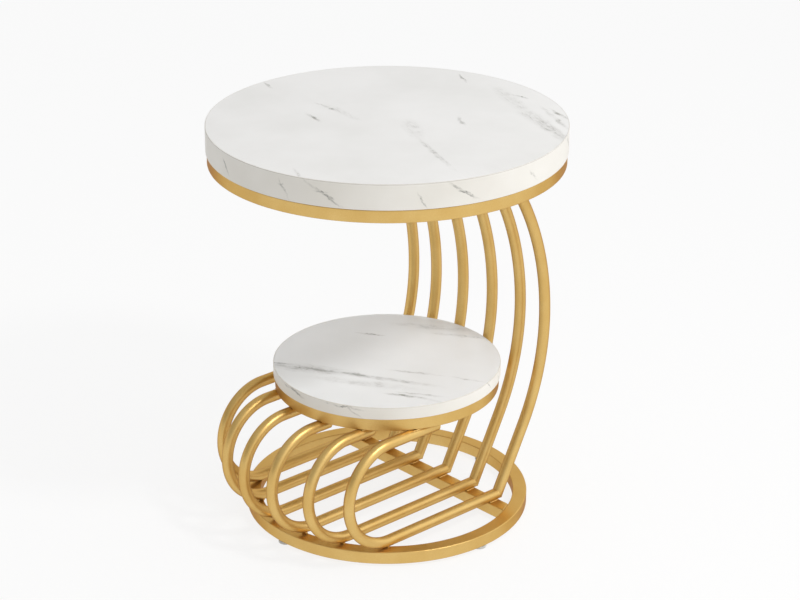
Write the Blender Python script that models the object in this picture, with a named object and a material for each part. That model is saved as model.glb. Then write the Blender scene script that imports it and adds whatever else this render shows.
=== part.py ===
"""Round two-tier side table: a welded tube frame that carries two marble-look panels.

Units are metres and +Z is up. The origin is on the floor, under the centre of the top.
The bowed tubes stand at the back (+Y), and the curled tubes reach out to the front (-Y).
"""

import math

import bmesh
import bpy
from mathutils import Matrix, Vector

# Heights above the floor
TABLE_HEIGHT = 0.583
SHELF_HEIGHT = 0.2247
FOOT_HEIGHT = 0.0045

# Panels: a board, a face sheet on it and an edge band round it
TOP_RADIUS = 0.250
TOP_THICKNESS = 0.036
SHELF_RADIUS = 0.1625
SHELF_THICKNESS = 0.018
FACE_SHEET_THICKNESS = 0.001
EDGE_BAND_THICKNESS = 0.001

# Ring bars of one rectangular section, and crossbars of the same height
BAR_WIDTH = 0.020
BAR_HEIGHT = 0.018
BAR_CORNER = 0.0015
TOP_RING_INSET = 0.0017
SHELF_RING_INSET = 0.0023
BASE_RING_RADIUS = 0.2035
TOP_CROSSBAR_Y = 0.0893
TOP_CROSSBAR_WIDTH = 0.025

# Round tubes: six rods, each a bowed tube mitred to a curled one
TUBE_DIAMETER = 0.016
ROD_COUNT = 6
ROD_PITCH_ANGLE = math.radians(18.0)
MITRE_Y = 0.091
BOW_PEAK_HEIGHT = 0.2845
BOW_LOWER_RADIUS = 0.3435
LOOP_FRONT_RADIUS = 0.2125
LOOP_FRONT_SHIFT = 0.0315
LOOP_LAP_LEAST = 0.012

# Fixings that hold each panel down on its ring
FIXING_ANGLES = [math.radians(degrees) for degrees in (45.0, 135.0, 225.0, 315.0)]
LUG_WIDTH = 0.024
LUG_LENGTH = 0.026
LUG_THICKNESS = 0.003
LUG_ROUND = 0.010
LUG_HOLE_SETBACK = 0.014
SCREW_DIAMETER = 0.006
SCREW_HEAD_DIAMETER = 0.0115
SCREW_HEAD_HEIGHT = 0.0035
SCREW_HEAD_CROWN = 0.0020
SCREW_END_CLEARANCE = 0.002
INSERT_DIAMETER = 0.010
INSERT_LENGTH = 0.011

# Glides pressed into the base ring
FOOT_NAMES = ("right", "back", "left", "front")
FOOT_DIAMETER = 0.020
FOOT_EDGE = 0.0012
FOOT_STEM_DIAMETER = 0.008
FOOT_STEM_LENGTH = 0.010

# Gaps: between pieces that seat on each other, and round what passes through a hole
SEAT_GAP = 0.0003
HOLE_CLEARANCE = 0.0003

# Facets of the round forms
TOP_SEGMENTS = 72
SHELF_SEGMENTS = 60
BASE_SEGMENTS = 72
TUBE_SIDES = 14
LOOP_STEPS = 18
BOW_LOWER_STEPS = 4
BOW_UPPER_STEPS = 6
FIXING_SEGMENTS = 12
FOOT_SEGMENTS = 20
LUG_ROUND_STEPS = 4
SMOOTH_ANGLE = math.radians(35.0)
WELD_DISTANCE = 0.00001

# Sizes that follow from the ones above
TUBE_RADIUS = TUBE_DIAMETER / 2
TOP_RING_RADIUS = TOP_RADIUS - TOP_RING_INSET
TOP_RING_BASE = TABLE_HEIGHT - TOP_THICKNESS - SEAT_GAP - BAR_HEIGHT
SHELF_RING_RADIUS = SHELF_RADIUS - SHELF_RING_INSET
SHELF_RING_BASE = SHELF_HEIGHT - SHELF_THICKNESS - SEAT_GAP - BAR_HEIGHT
BASE_RING_TOP = FOOT_HEIGHT + BAR_HEIGHT
BASE_RING_MIDLINE = BASE_RING_RADIUS - BAR_WIDTH / 2
RUN_HEIGHT = BASE_RING_TOP + SEAT_GAP + TUBE_RADIUS
LOOP_TOP_HEIGHT = SHELF_RING_BASE - SEAT_GAP - TUBE_RADIUS
LOOP_RADIUS = (LOOP_TOP_HEIGHT - RUN_HEIGHT) / 2


def clear_scene():
    """Remove every object that the open file holds."""
    for existing in list(bpy.data.objects):
        bpy.data.objects.remove(existing, do_unlink=True)


def make_material(name, colour, roughness, metallic):
    """Return a Principled material of one colour."""
    material = bpy.data.materials.new(name)
    material.use_nodes = True
    shader = material.node_tree.nodes["Principled BSDF"]
    shader.inputs["Base Color"].default_value = (*colour, 1.0)
    shader.inputs["Roughness"].default_value = roughness
    shader.inputs["Metallic"].default_value = metallic
    return material


def make_object(name, mesh, material, parent, location=(0.0, 0.0, 0.0), turn=0.0):
    """Put a mesh into the scene as one named sub-part, turned about Z and then placed."""
    piece = bpy.data.objects.new(name, mesh)
    bpy.context.scene.collection.objects.link(piece)
    piece.parent = parent
    piece.location = location
    piece.rotation_euler.z = turn
    if not mesh.materials:
        mesh.materials.append(material)
    return piece


def make_ring_of(name, mesh, material, parent):
    """Put one copy of a fixing, made at angle zero, at each fixing angle round the Z axis."""
    return [
        make_object(f"{name}_{number}", mesh, material, parent, turn=angle)
        for number, angle in enumerate(FIXING_ANGLES, start=1)]


def finish_mesh(name, bm):
    """Turn a bmesh into a mesh with outward faces and smooth round sides."""
    bmesh.ops.remove_doubles(bm, verts=bm.verts, dist=WELD_DISTANCE)
    bmesh.ops.recalc_face_normals(bm, faces=bm.faces)
    mesh = bpy.data.meshes.new(name)
    bm.to_mesh(mesh)
    bm.free()
    mesh.shade_smooth()
    mesh.set_sharp_from_angle(angle=SMOOTH_ANGLE)
    return mesh


def cut_with(piece, cutter):
    """Subtract a hidden cutter from a piece."""
    cutter.hide_render = True
    cutter.display_type = "WIRE"
    cut = piece.modifiers.new("holes", "BOOLEAN")
    cut.operation = "DIFFERENCE"
    cut.solver = "EXACT"
    cut.object = cutter


def turn_profile(bm, profile, segments, closed):
    """Turn a profile of (radius, height) points once round the Z axis."""
    verts = [bm.verts.new((radius, 0.0, height)) for radius, height in profile]
    edges = [bm.edges.new(pair) for pair in zip(verts, verts[1:])]
    if closed:
        edges.append(bm.edges.new((verts[-1], verts[0])))
    bmesh.ops.spin(
        bm, geom=verts + edges, cent=(0.0, 0.0, 0.0), axis=(0.0, 0.0, 1.0),
        angle=math.tau, steps=segments, use_merge=True)
    bmesh.ops.remove_doubles(bm, verts=bm.verts, dist=WELD_DISTANCE)


def repeat_around(bm, angles):
    """Copy everything in the bmesh, made at angle zero, to each angle round the Z axis."""
    pattern = bm.verts[:] + bm.edges[:] + bm.faces[:]
    for angle in angles:
        copy = bmesh.ops.duplicate(bm, geom=pattern)
        verts = [item for item in copy["geom"] if isinstance(item, bmesh.types.BMVert)]
        bmesh.ops.rotate(bm, verts=verts, cent=(0.0, 0.0, 0.0), matrix=Matrix.Rotation(angle, 3, "Z"))
    bmesh.ops.delete(bm, geom=[item for item in pattern if isinstance(item, bmesh.types.BMVert)])


def disc_mesh(name, radius, base, thickness, segments):
    """A round plate that stands on the height given as its base."""
    bm = bmesh.new()
    place = Matrix.Translation((0.0, 0.0, base + thickness / 2))
    bmesh.ops.create_cone(
        bm, cap_ends=True, segments=segments, radius1=radius, radius2=radius, depth=thickness, matrix=place)
    return finish_mesh(name, bm)


def band_mesh(name, radius, base, thickness, height, segments):
    """A thin band with square edges, bent into a ring."""
    bm = bmesh.new()
    inner = radius - thickness
    profile = [(radius, base + height), (radius, base), (inner, base), (inner, base + height)]
    turn_profile(bm, profile, segments, closed=True)
    return finish_mesh(name, bm)


def ring_bar_mesh(name, radius, base, segments):
    """A rectangular bar with eased corners, rolled into a ring."""
    inner = radius - BAR_WIDTH
    top = base + BAR_HEIGHT
    profile = [
        (radius, top - BAR_CORNER), (radius, base + BAR_CORNER),
        (radius - BAR_CORNER, base), (inner + BAR_CORNER, base),
        (inner, base + BAR_CORNER), (inner, top - BAR_CORNER),
        (inner + BAR_CORNER, top), (radius - BAR_CORNER, top)]
    bm = bmesh.new()
    turn_profile(bm, profile, segments, closed=True)
    return finish_mesh(name, bm)


def chord_bar_mesh(name, ring_radius, middle_y, width, base, segments):
    """A straight bar across a ring, with its ends coped to the ring's inner wall.

    It is the disc that fits inside the ring, trimmed to a strip and drawn up to the bar's height.
    """
    bm = bmesh.new()
    bmesh.ops.create_circle(
        bm, cap_ends=True, segments=segments, radius=ring_radius - BAR_WIDTH - SEAT_GAP,
        matrix=Matrix.Translation((0.0, 0.0, base)))
    for side in (-1.0, 1.0):
        bmesh.ops.bisect_plane(
            bm, geom=bm.verts[:] + bm.edges[:] + bm.faces[:],
            plane_co=(0.0, middle_y + side * width / 2, base), plane_no=(0.0, side, 0.0), clear_outer=True)
    drawn = bmesh.ops.extrude_face_region(bm, geom=bm.faces[:])
    verts = [item for item in drawn["geom"] if isinstance(item, bmesh.types.BMVert)]
    bmesh.ops.translate(bm, verts=verts, vec=(0.0, 0.0, BAR_HEIGHT))
    return finish_mesh(name, bm)


def heading_vector(heading):
    """Unit direction in the upright YZ plane: zero is +Y, a quarter turn is +Z."""
    return Vector((0.0, math.cos(heading), math.sin(heading)))


def split_geometry(items):
    """Sort bmesh geometry into its verts and its edges."""
    verts = [item for item in items if isinstance(item, bmesh.types.BMVert)]
    edges = [item for item in items if isinstance(item, bmesh.types.BMEdge)]
    return verts, edges


def slide_to_plane(verts, direction, point, normal):
    """Cut a tube end: slide its rim along the tube until it lies in a plane."""
    for vert in verts:
        vert.co += direction * ((point - vert.co).dot(normal) / direction.dot(normal))


def bent_tube_mesh(name, start, heading, bends, start_plane, end_plane):
    """Bend a tube as a tube bender does, in the plane X = 0.

    Each bend is (straight length before it, radius, turn, steps). A turn to the left is positive, and a radius
    of zero adds only the straight length. Each plane is (point, normal), and the tube's end is cut to it.
    """
    bm = bmesh.new()
    point = Vector(start)
    placed = Matrix.Translation(point) @ Matrix.Rotation(heading - math.pi / 2, 4, "X")
    rim = bmesh.ops.create_circle(bm, segments=TUBE_SIDES, radius=TUBE_RADIUS, matrix=placed)["verts"]
    edges = bm.edges[:]
    first_rim, first_edges, first_heading = rim, edges, heading
    for straight, radius, turn, steps in bends:
        if straight > 0.0:
            drawn = bmesh.ops.extrude_edge_only(bm, edges=edges)
            rim, edges = split_geometry(drawn["geom"])
            edges = [edge for edge in edges if all(vert in rim for vert in edge.verts)]
            step = heading_vector(heading) * straight
            bmesh.ops.translate(bm, verts=rim, vec=step)
            point += step
        if radius > 0.0:
            side = math.copysign(1.0, turn)
            centre = point + heading_vector(heading + side * math.pi / 2) * radius
            swept = bmesh.ops.spin(
                bm, geom=rim + edges, cent=centre, axis=(1.0, 0.0, 0.0), angle=turn, steps=steps)
            rim, edges = split_geometry(swept["geom_last"])
            heading += turn
            point = centre - heading_vector(heading + side * math.pi / 2) * radius
    slide_to_plane(first_rim, heading_vector(first_heading), *start_plane)
    slide_to_plane(rim, heading_vector(heading), *end_plane)
    bmesh.ops.edgeloop_fill(bm, edges=first_edges)
    bmesh.ops.edgeloop_fill(bm, edges=edges)
    return finish_mesh(name, bm)


def rod_positions():
    """X of each rod: equal angles on the base ring's midline, from the right (+X) to the left."""
    middle = (ROD_COUNT - 1) / 2
    return [BASE_RING_MIDLINE * math.sin((middle - index) * ROD_PITCH_ANGLE) for index in range(ROD_COUNT)]


def bow_course():
    """Work out the bowed tube's centreline, from the mitre past the back of the shelf ring to the top crossbar.

    Returns the first heading, the straight length, the lower turn, the upper bend's radius and its turn.
    """
    nearest_x = min(abs(x) for x in rod_positions())
    lean_radius = SHELF_RING_RADIUS + SEAT_GAP + TUBE_RADIUS
    lean_y = math.sqrt(lean_radius ** 2 - nearest_x ** 2)
    lean_depth = BOW_PEAK_HEIGHT - SHELF_RING_BASE
    peak_y = lean_y + BOW_LOWER_RADIUS - math.sqrt(BOW_LOWER_RADIUS ** 2 - lean_depth ** 2)
    to_centre_y = peak_y - BOW_LOWER_RADIUS - MITRE_Y
    to_centre_z = BOW_PEAK_HEIGHT - RUN_HEIGHT
    reach = math.hypot(to_centre_y, to_centre_z)
    heading = math.atan2(to_centre_z, to_centre_y) - math.asin(BOW_LOWER_RADIUS / reach)
    straight = math.sqrt(reach ** 2 - BOW_LOWER_RADIUS ** 2)
    rise = TOP_RING_BASE - SEAT_GAP - BOW_PEAK_HEIGHT
    upper_turn = 2.0 * math.atan2(peak_y - TOP_CROSSBAR_Y, rise)
    upper_radius = rise / math.sin(upper_turn)
    return heading, straight, math.pi / 2 - heading, upper_radius, upper_turn


def mitre_planes(bow_heading):
    """The two faces of the mitre where a bowed tube meets its curled tube."""
    corner = Vector((0.0, MITRE_Y, RUN_HEIGHT))
    normal = (heading_vector(bow_heading) - heading_vector(math.pi)).normalized()
    return (corner + normal * SEAT_GAP / 2, normal), (corner - normal * SEAT_GAP / 2, normal)


def bow_tube_mesh():
    """The bowed tube: straight out of the mitre, then back to upright and over to the top crossbar."""
    heading, straight, lower_turn, upper_radius, upper_turn = bow_course()
    upper_face, _ = mitre_planes(heading)
    bends = [
        (straight, BOW_LOWER_RADIUS, lower_turn, BOW_LOWER_STEPS),
        (0.0, upper_radius, upper_turn, BOW_UPPER_STEPS)]
    top_face = (Vector((0.0, 0.0, TOP_RING_BASE - SEAT_GAP)), Vector((0.0, 0.0, 1.0)))
    return bent_tube_mesh("bow_tube", (0.0, MITRE_Y, RUN_HEIGHT), heading, bends, upper_face, top_face)


def loop_tube_mesh(name, rod_x):
    """The curled tube: along the base, round the front and back under the shelf ring's inner edge."""
    front_y = -LOOP_FRONT_SHIFT - math.sqrt(LOOP_FRONT_RADIUS ** 2 - rod_x ** 2)
    bend_y = front_y + LOOP_RADIUS
    ring_inner = SHELF_RING_RADIUS - BAR_WIDTH
    ring_edge_y = -math.sqrt(max(ring_inner ** 2 - rod_x ** 2, 0.0))
    end_y = max(ring_edge_y, bend_y + LOOP_LAP_LEAST)
    bends = [
        (MITRE_Y - bend_y, LOOP_RADIUS, -math.pi, LOOP_STEPS),
        (end_y - bend_y, 0.0, 0.0, 0)]
    _, lower_face = mitre_planes(bow_course()[0])
    end_face = (Vector((0.0, end_y, 0.0)), Vector((0.0, 1.0, 0.0)))
    return bent_tube_mesh(name, (0.0, MITRE_Y, RUN_HEIGHT), math.pi, bends, lower_face, end_face)


def add_rods(parent, gold):
    """Six rods, numbered from the right: one bowed and one curled tube each."""
    bow_mesh = bow_tube_mesh()
    for number, rod_x in enumerate(rod_positions(), start=1):
        make_object(f"bow_tube_{number}", bow_mesh, gold, parent, (rod_x, 0.0, 0.0))
        loop_mesh = loop_tube_mesh(f"loop_tube_{number}", rod_x)
        make_object(f"loop_tube_{number}", loop_mesh, gold, parent, (rod_x, 0.0, 0.0))


def add_panel(tier, radius, height, thickness, segments, parent, finishes):
    """A board with its face sheet and edge band. Returns the board."""
    board_radius = radius - EDGE_BAND_THICKNESS - SEAT_GAP
    base = height - thickness
    board_thickness = thickness - FACE_SHEET_THICKNESS - SEAT_GAP
    board_mesh = disc_mesh(f"{tier}_board", board_radius, base, board_thickness, segments)
    board = make_object(f"{tier}_board", board_mesh, finishes["board"], parent)
    sheet_mesh = disc_mesh(
        f"{tier}_face_sheet", board_radius, height - FACE_SHEET_THICKNESS, FACE_SHEET_THICKNESS, segments)
    make_object(f"{tier}_face_sheet", sheet_mesh, finishes["face"], parent)
    edge_mesh = band_mesh(f"{tier}_edge_band", radius, base, EDGE_BAND_THICKNESS, thickness, segments)
    make_object(f"{tier}_edge_band", edge_mesh, finishes["edge"], parent)
    return board


def add_pin_cutter(name, radius, distance, base, height, angles, parent):
    """A hidden group of upright pins, used to cut holes."""
    bm = bmesh.new()
    place = Matrix.Translation((distance, 0.0, base + height / 2))
    bmesh.ops.create_cone(
        bm, cap_ends=True, segments=FIXING_SEGMENTS, radius1=radius, radius2=radius, depth=height, matrix=place)
    repeat_around(bm, angles)
    return make_object(name, finish_mesh(name, bm), None, parent)


def lug_mesh(name, ring_inner, ring_top):
    """A tab inside a ring, flush with its top, with a round inner end."""
    outer_x = math.sqrt(ring_inner ** 2 - (LUG_WIDTH / 2) ** 2) - SEAT_GAP
    bm = bmesh.new()
    size = Matrix.Diagonal((LUG_LENGTH, LUG_WIDTH, LUG_THICKNESS, 1.0))
    place = Matrix.Translation((outer_x - LUG_LENGTH / 2, 0.0, ring_top - LUG_THICKNESS / 2))
    bmesh.ops.create_cube(bm, size=1.0, matrix=place @ size)
    inner_x = outer_x - LUG_LENGTH
    inner_verts = [vert for vert in bm.verts if abs(vert.co.x - inner_x) < WELD_DISTANCE]
    upright = [
        edge for edge in bm.edges
        if all(vert in inner_verts for vert in edge.verts)
        and abs(edge.verts[0].co.z - edge.verts[1].co.z) > LUG_THICKNESS / 2]
    bmesh.ops.bevel(
        bm, geom=upright, offset=LUG_ROUND, offset_type="OFFSET", segments=LUG_ROUND_STEPS,
        profile=0.5, affect="EDGES")
    return finish_mesh(name, bm)


def screw_mesh(name, distance, tip, head_top):
    """A button-head screw, head down."""
    shank = SCREW_DIAMETER / 2
    head = SCREW_HEAD_DIAMETER / 2
    bm = bmesh.new()
    profile = [
        (0.0, tip), (shank, tip), (shank, head_top), (head, head_top),
        (head, head_top - SCREW_HEAD_HEIGHT + SCREW_HEAD_CROWN),
        (head - SCREW_HEAD_CROWN, head_top - SCREW_HEAD_HEIGHT), (0.0, head_top - SCREW_HEAD_HEIGHT)]
    turn_profile(bm, profile, FIXING_SEGMENTS, closed=False)
    bmesh.ops.translate(bm, verts=bm.verts, vec=(distance, 0.0, 0.0))
    return finish_mesh(name, bm)


def insert_mesh(name, distance, base):
    """A threaded sleeve, flush with the underside of the board."""
    outer = INSERT_DIAMETER / 2
    bore = SCREW_DIAMETER / 2 + HOLE_CLEARANCE
    top = base + INSERT_LENGTH
    bm = bmesh.new()
    turn_profile(bm, [(outer, top), (outer, base), (bore, base), (bore, top)], FIXING_SEGMENTS, closed=True)
    bmesh.ops.translate(bm, verts=bm.verts, vec=(distance, 0.0, 0.0))
    return finish_mesh(name, bm)


def add_fixings(tier, board, ring_radius, ring_base, parent, finishes):
    """Lugs inside a ring, and the screws and inserts that hold the board down on them."""
    ring_inner = ring_radius - BAR_WIDTH
    ring_top = ring_base + BAR_HEIGHT
    board_base = ring_top + SEAT_GAP
    lug_base = ring_top - LUG_THICKNESS
    distance = ring_inner - LUG_HOLE_SETBACK

    lug_holes = add_pin_cutter(
        f"{tier}_lug_holes", SCREW_DIAMETER / 2 + HOLE_CLEARANCE, distance,
        lug_base - LUG_THICKNESS, LUG_THICKNESS * 3, FIXING_ANGLES, parent)
    lug = lug_mesh(f"{tier}_lug", ring_inner, ring_top)
    for tab in make_ring_of(f"{tier}_lug", lug, finishes["gold"], parent):
        cut_with(tab, lug_holes)

    insert_holes = add_pin_cutter(
        f"{tier}_insert_holes", INSERT_DIAMETER / 2 + HOLE_CLEARANCE, distance,
        board_base - INSERT_LENGTH, INSERT_LENGTH * 2 + HOLE_CLEARANCE, FIXING_ANGLES, parent)
    cut_with(board, insert_holes)

    tip = board_base + INSERT_LENGTH - SCREW_END_CLEARANCE
    screw = screw_mesh(f"{tier}_screw", distance, tip, lug_base - SEAT_GAP)
    make_ring_of(f"{tier}_screw", screw, finishes["screw"], parent)
    insert = insert_mesh(f"{tier}_insert", distance, board_base)
    make_ring_of(f"{tier}_insert", insert, finishes["insert"], parent)


def add_base(parent, gold):
    """The base ring, drilled for its glides, and the crossbar under the mitred corners."""
    ring_mesh = ring_bar_mesh("base_ring", BASE_RING_RADIUS, FOOT_HEIGHT, BASE_SEGMENTS)
    ring = make_object("base_ring", ring_mesh, gold, parent)
    stem_holes = add_pin_cutter(
        "stem_holes", FOOT_STEM_DIAMETER / 2 + HOLE_CLEARANCE, BASE_RING_MIDLINE,
        FOOT_HEIGHT - FOOT_STEM_LENGTH, FOOT_STEM_LENGTH * 2 + HOLE_CLEARANCE, foot_angles(), parent)
    cut_with(ring, stem_holes)
    bar_mesh = chord_bar_mesh(
        "base_crossbar", BASE_RING_RADIUS, MITRE_Y - BAR_WIDTH / 2, BAR_WIDTH, FOOT_HEIGHT, BASE_SEGMENTS)
    make_object("base_crossbar", bar_mesh, gold, parent)


def foot_angles():
    """Quarter points of the base ring, in the order of the feet's names."""
    return [math.tau * index / len(FOOT_NAMES) for index in range(len(FOOT_NAMES))]


def add_feet(parent, plastic):
    """Glides: a pad that meets the floor, and a stem pressed up into the base ring."""
    pad = FOOT_DIAMETER / 2
    stem = FOOT_STEM_DIAMETER / 2
    pad_top = FOOT_HEIGHT - SEAT_GAP
    profile = [
        (0.0, FOOT_HEIGHT + FOOT_STEM_LENGTH), (stem, FOOT_HEIGHT + FOOT_STEM_LENGTH), (stem, pad_top),
        (pad, pad_top), (pad, FOOT_EDGE), (pad - FOOT_EDGE, 0.0), (0.0, 0.0)]
    bm = bmesh.new()
    turn_profile(bm, profile, FOOT_SEGMENTS, closed=False)
    mesh = finish_mesh("foot_glide", bm)
    for name, angle in zip(FOOT_NAMES, foot_angles()):
        place = (BASE_RING_MIDLINE * math.cos(angle), BASE_RING_MIDLINE * math.sin(angle), 0.0)
        make_object(f"foot_{name}", mesh, plastic, parent, place)


def build_table():
    """Make every piece of the table."""
    clear_scene()
    table = bpy.data.objects.new("table", None)
    bpy.context.scene.collection.objects.link(table)
    finishes = {
        "gold": make_material("gold_lacquered_steel", (0.62, 0.40, 0.13), 0.32, 0.9),
        "face": make_material("marble_face_sheet", (0.83, 0.83, 0.82), 0.25, 0.0),
        "edge": make_material("marble_edge_band", (0.80, 0.78, 0.75), 0.30, 0.0),
        "board": make_material("fibreboard", (0.42, 0.30, 0.18), 0.80, 0.0),
        "screw": make_material("zinc_plated_steel", (0.62, 0.62, 0.60), 0.35, 1.0),
        "insert": make_material("brass", (0.70, 0.55, 0.25), 0.40, 1.0),
        "foot": make_material("clear_grey_plastic", (0.62, 0.62, 0.60), 0.45, 0.0)}
    gold = finishes["gold"]

    top = add_panel("top", TOP_RADIUS, TABLE_HEIGHT, TOP_THICKNESS, TOP_SEGMENTS, table, finishes)
    top_ring = ring_bar_mesh("top_ring", TOP_RING_RADIUS, TOP_RING_BASE, TOP_SEGMENTS)
    make_object("top_ring", top_ring, gold, table)
    top_bar = chord_bar_mesh(
        "top_crossbar", TOP_RING_RADIUS, TOP_CROSSBAR_Y, TOP_CROSSBAR_WIDTH, TOP_RING_BASE, TOP_SEGMENTS)
    make_object("top_crossbar", top_bar, gold, table)
    add_fixings("top", top, TOP_RING_RADIUS, TOP_RING_BASE, table, finishes)

    shelf = add_panel("shelf", SHELF_RADIUS, SHELF_HEIGHT, SHELF_THICKNESS, SHELF_SEGMENTS, table, finishes)
    shelf_ring = ring_bar_mesh("shelf_ring", SHELF_RING_RADIUS, SHELF_RING_BASE, SHELF_SEGMENTS)
    make_object("shelf_ring", shelf_ring, gold, table)
    add_fixings("shelf", shelf, SHELF_RING_RADIUS, SHELF_RING_BASE, table, finishes)

    add_rods(table, gold)
    add_base(table, gold)
    add_feet(table, finishes["foot"])


build_table()
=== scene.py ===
"""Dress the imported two-tier side table: lacquered frame, printed panels, welds, fixings and glides.

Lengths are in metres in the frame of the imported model: +Z is up, the floor is Z = 0 and the bowed
tubes stand at +Y. Veins are given in millimetres on the panel that carries them.
"""

import logging
import math
import random
from collections.abc import Callable, Iterable
from dataclasses import dataclass, field
from enum import Enum
from functools import partial

import bmesh
import bpy
from bmesh.types import BMesh, BMVert
from bpy.types import Material, Node, NodeSocket, NodeTree, Object
from mathutils import Matrix, Vector


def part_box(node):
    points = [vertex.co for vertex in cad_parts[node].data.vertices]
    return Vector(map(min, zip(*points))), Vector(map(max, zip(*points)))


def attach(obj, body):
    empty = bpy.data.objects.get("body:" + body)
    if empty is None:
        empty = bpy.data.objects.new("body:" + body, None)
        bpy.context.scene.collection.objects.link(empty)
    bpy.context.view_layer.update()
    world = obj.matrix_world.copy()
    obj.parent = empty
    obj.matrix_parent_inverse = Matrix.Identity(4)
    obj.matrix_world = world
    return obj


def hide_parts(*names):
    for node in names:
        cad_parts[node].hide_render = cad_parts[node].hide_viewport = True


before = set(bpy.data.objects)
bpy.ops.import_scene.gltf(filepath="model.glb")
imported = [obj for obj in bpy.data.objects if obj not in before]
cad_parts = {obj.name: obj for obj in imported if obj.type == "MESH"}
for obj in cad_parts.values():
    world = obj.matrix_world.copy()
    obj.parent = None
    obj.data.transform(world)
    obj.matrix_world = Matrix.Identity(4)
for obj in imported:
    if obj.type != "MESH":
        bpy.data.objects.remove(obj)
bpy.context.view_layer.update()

BODY = "root"
MM = 0.001
MERGE = 0.002 * MM
FULL_TURN = math.tau
QUARTER_TURN = math.pi / 2
SHARP_EDGE = math.radians(40.0)
FACE_WEIGHT = 100
BEAD_SIZE = "bead_size"
RIM_MAP = "panel"
# A Mix node's sockets go by number, because its float and colour sockets share their names.
FACTOR, FLOAT_A, FLOAT_B, COLOUR_A, COLOUR_B = 0, 2, 3, 6, 7
MIXED_COLOUR = 2
log = logging.getLogger("side_table")

SocketValue = Node | NodeSocket | Material | float | int | bool | tuple | str
Point = tuple[float, float, float]
SocketValues = dict[str | int, SocketValue] | list[SocketValue]


class Slot(Enum):
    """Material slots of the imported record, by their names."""

    GOLD = "gold_frame"
    FACE = "marble_face"
    EDGE = "marble_edge"
    SCREW = "screw"
    FOOT = "foot"


class Tier(Enum):
    """The two panels, by the name that their nodes begin with."""

    TOP = "top"
    SHELF = "shelf"


class SizeKind(Enum):
    """Kinds of size that a tree takes, by Blender's names for their sockets."""

    MEASURE = "NodeSocketFloat"
    COUNT = "NodeSocketInt"


def linear(hex_colour: str) -> tuple[float, float, float, float]:
    """Turn an sRGB hex colour into the linear colour that a socket takes, by the sRGB curve.

    Args:
        hex_colour: Colour written as #RRGGBB.

    Returns:
        Linear red, green and blue, and an alpha of one.
    """
    shares = [int(hex_colour[start:start + 2], 16) / 255 for start in (1, 3, 5)]
    red, green, blue = [
        share / 12.92 if share <= 0.04045 else ((share + 0.055) / 1.055) ** 2.4
        for share in shares]
    return red, green, blue, 1.0


def scale_for(mark_mm: float) -> float:
    """Texture scale at which a mark of the pattern is about this many millimetres wide."""
    return 1 / (mark_mm * MM)


def fill_sockets(node: Node, values: SocketValues) -> None:
    """Set or link a node's input sockets.

    Args:
        node: The node.
        values: Values by socket name or number, or a list for the first sockets in order. Each is
            a plain value, an output to link, or a node whose first output is linked.
    """
    pairs = values if isinstance(values, dict) else dict(enumerate(values))
    for key, value in pairs.items():
        source = value.outputs[0] if isinstance(value, Node) else value
        if isinstance(source, NodeSocket):
            node.id_data.links.new(source, node.inputs[key])
        else:
            node.inputs[key].default_value = source


def add_node(
        tree: NodeTree, kind: str, values: SocketValues | None = None,
        **settings: object) -> Node:
    """Add a node, set its properties, and fill or link its sockets.

    Args:
        tree: Tree that gets the node.
        kind: Blender's name for the type of node.
        values: What goes into its sockets, as in fill_sockets.
        **settings: Properties of the node itself.

    Returns:
        The new node.
    """
    node = tree.nodes.new(kind)
    for name, value in settings.items():
        setattr(node, name, value)
    fill_sockets(node, values or {})
    return node


def new_material(name: str) -> tuple[Material, NodeTree, Node]:
    """Make an empty Principled material.

    Args:
        name: Name of the material.

    Returns:
        The material, its node tree and its Principled shader.
    """
    material = bpy.data.materials.new(name)
    material.use_nodes = True
    tree = material.node_tree
    return material, tree, tree.nodes["Principled BSDF"]


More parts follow.
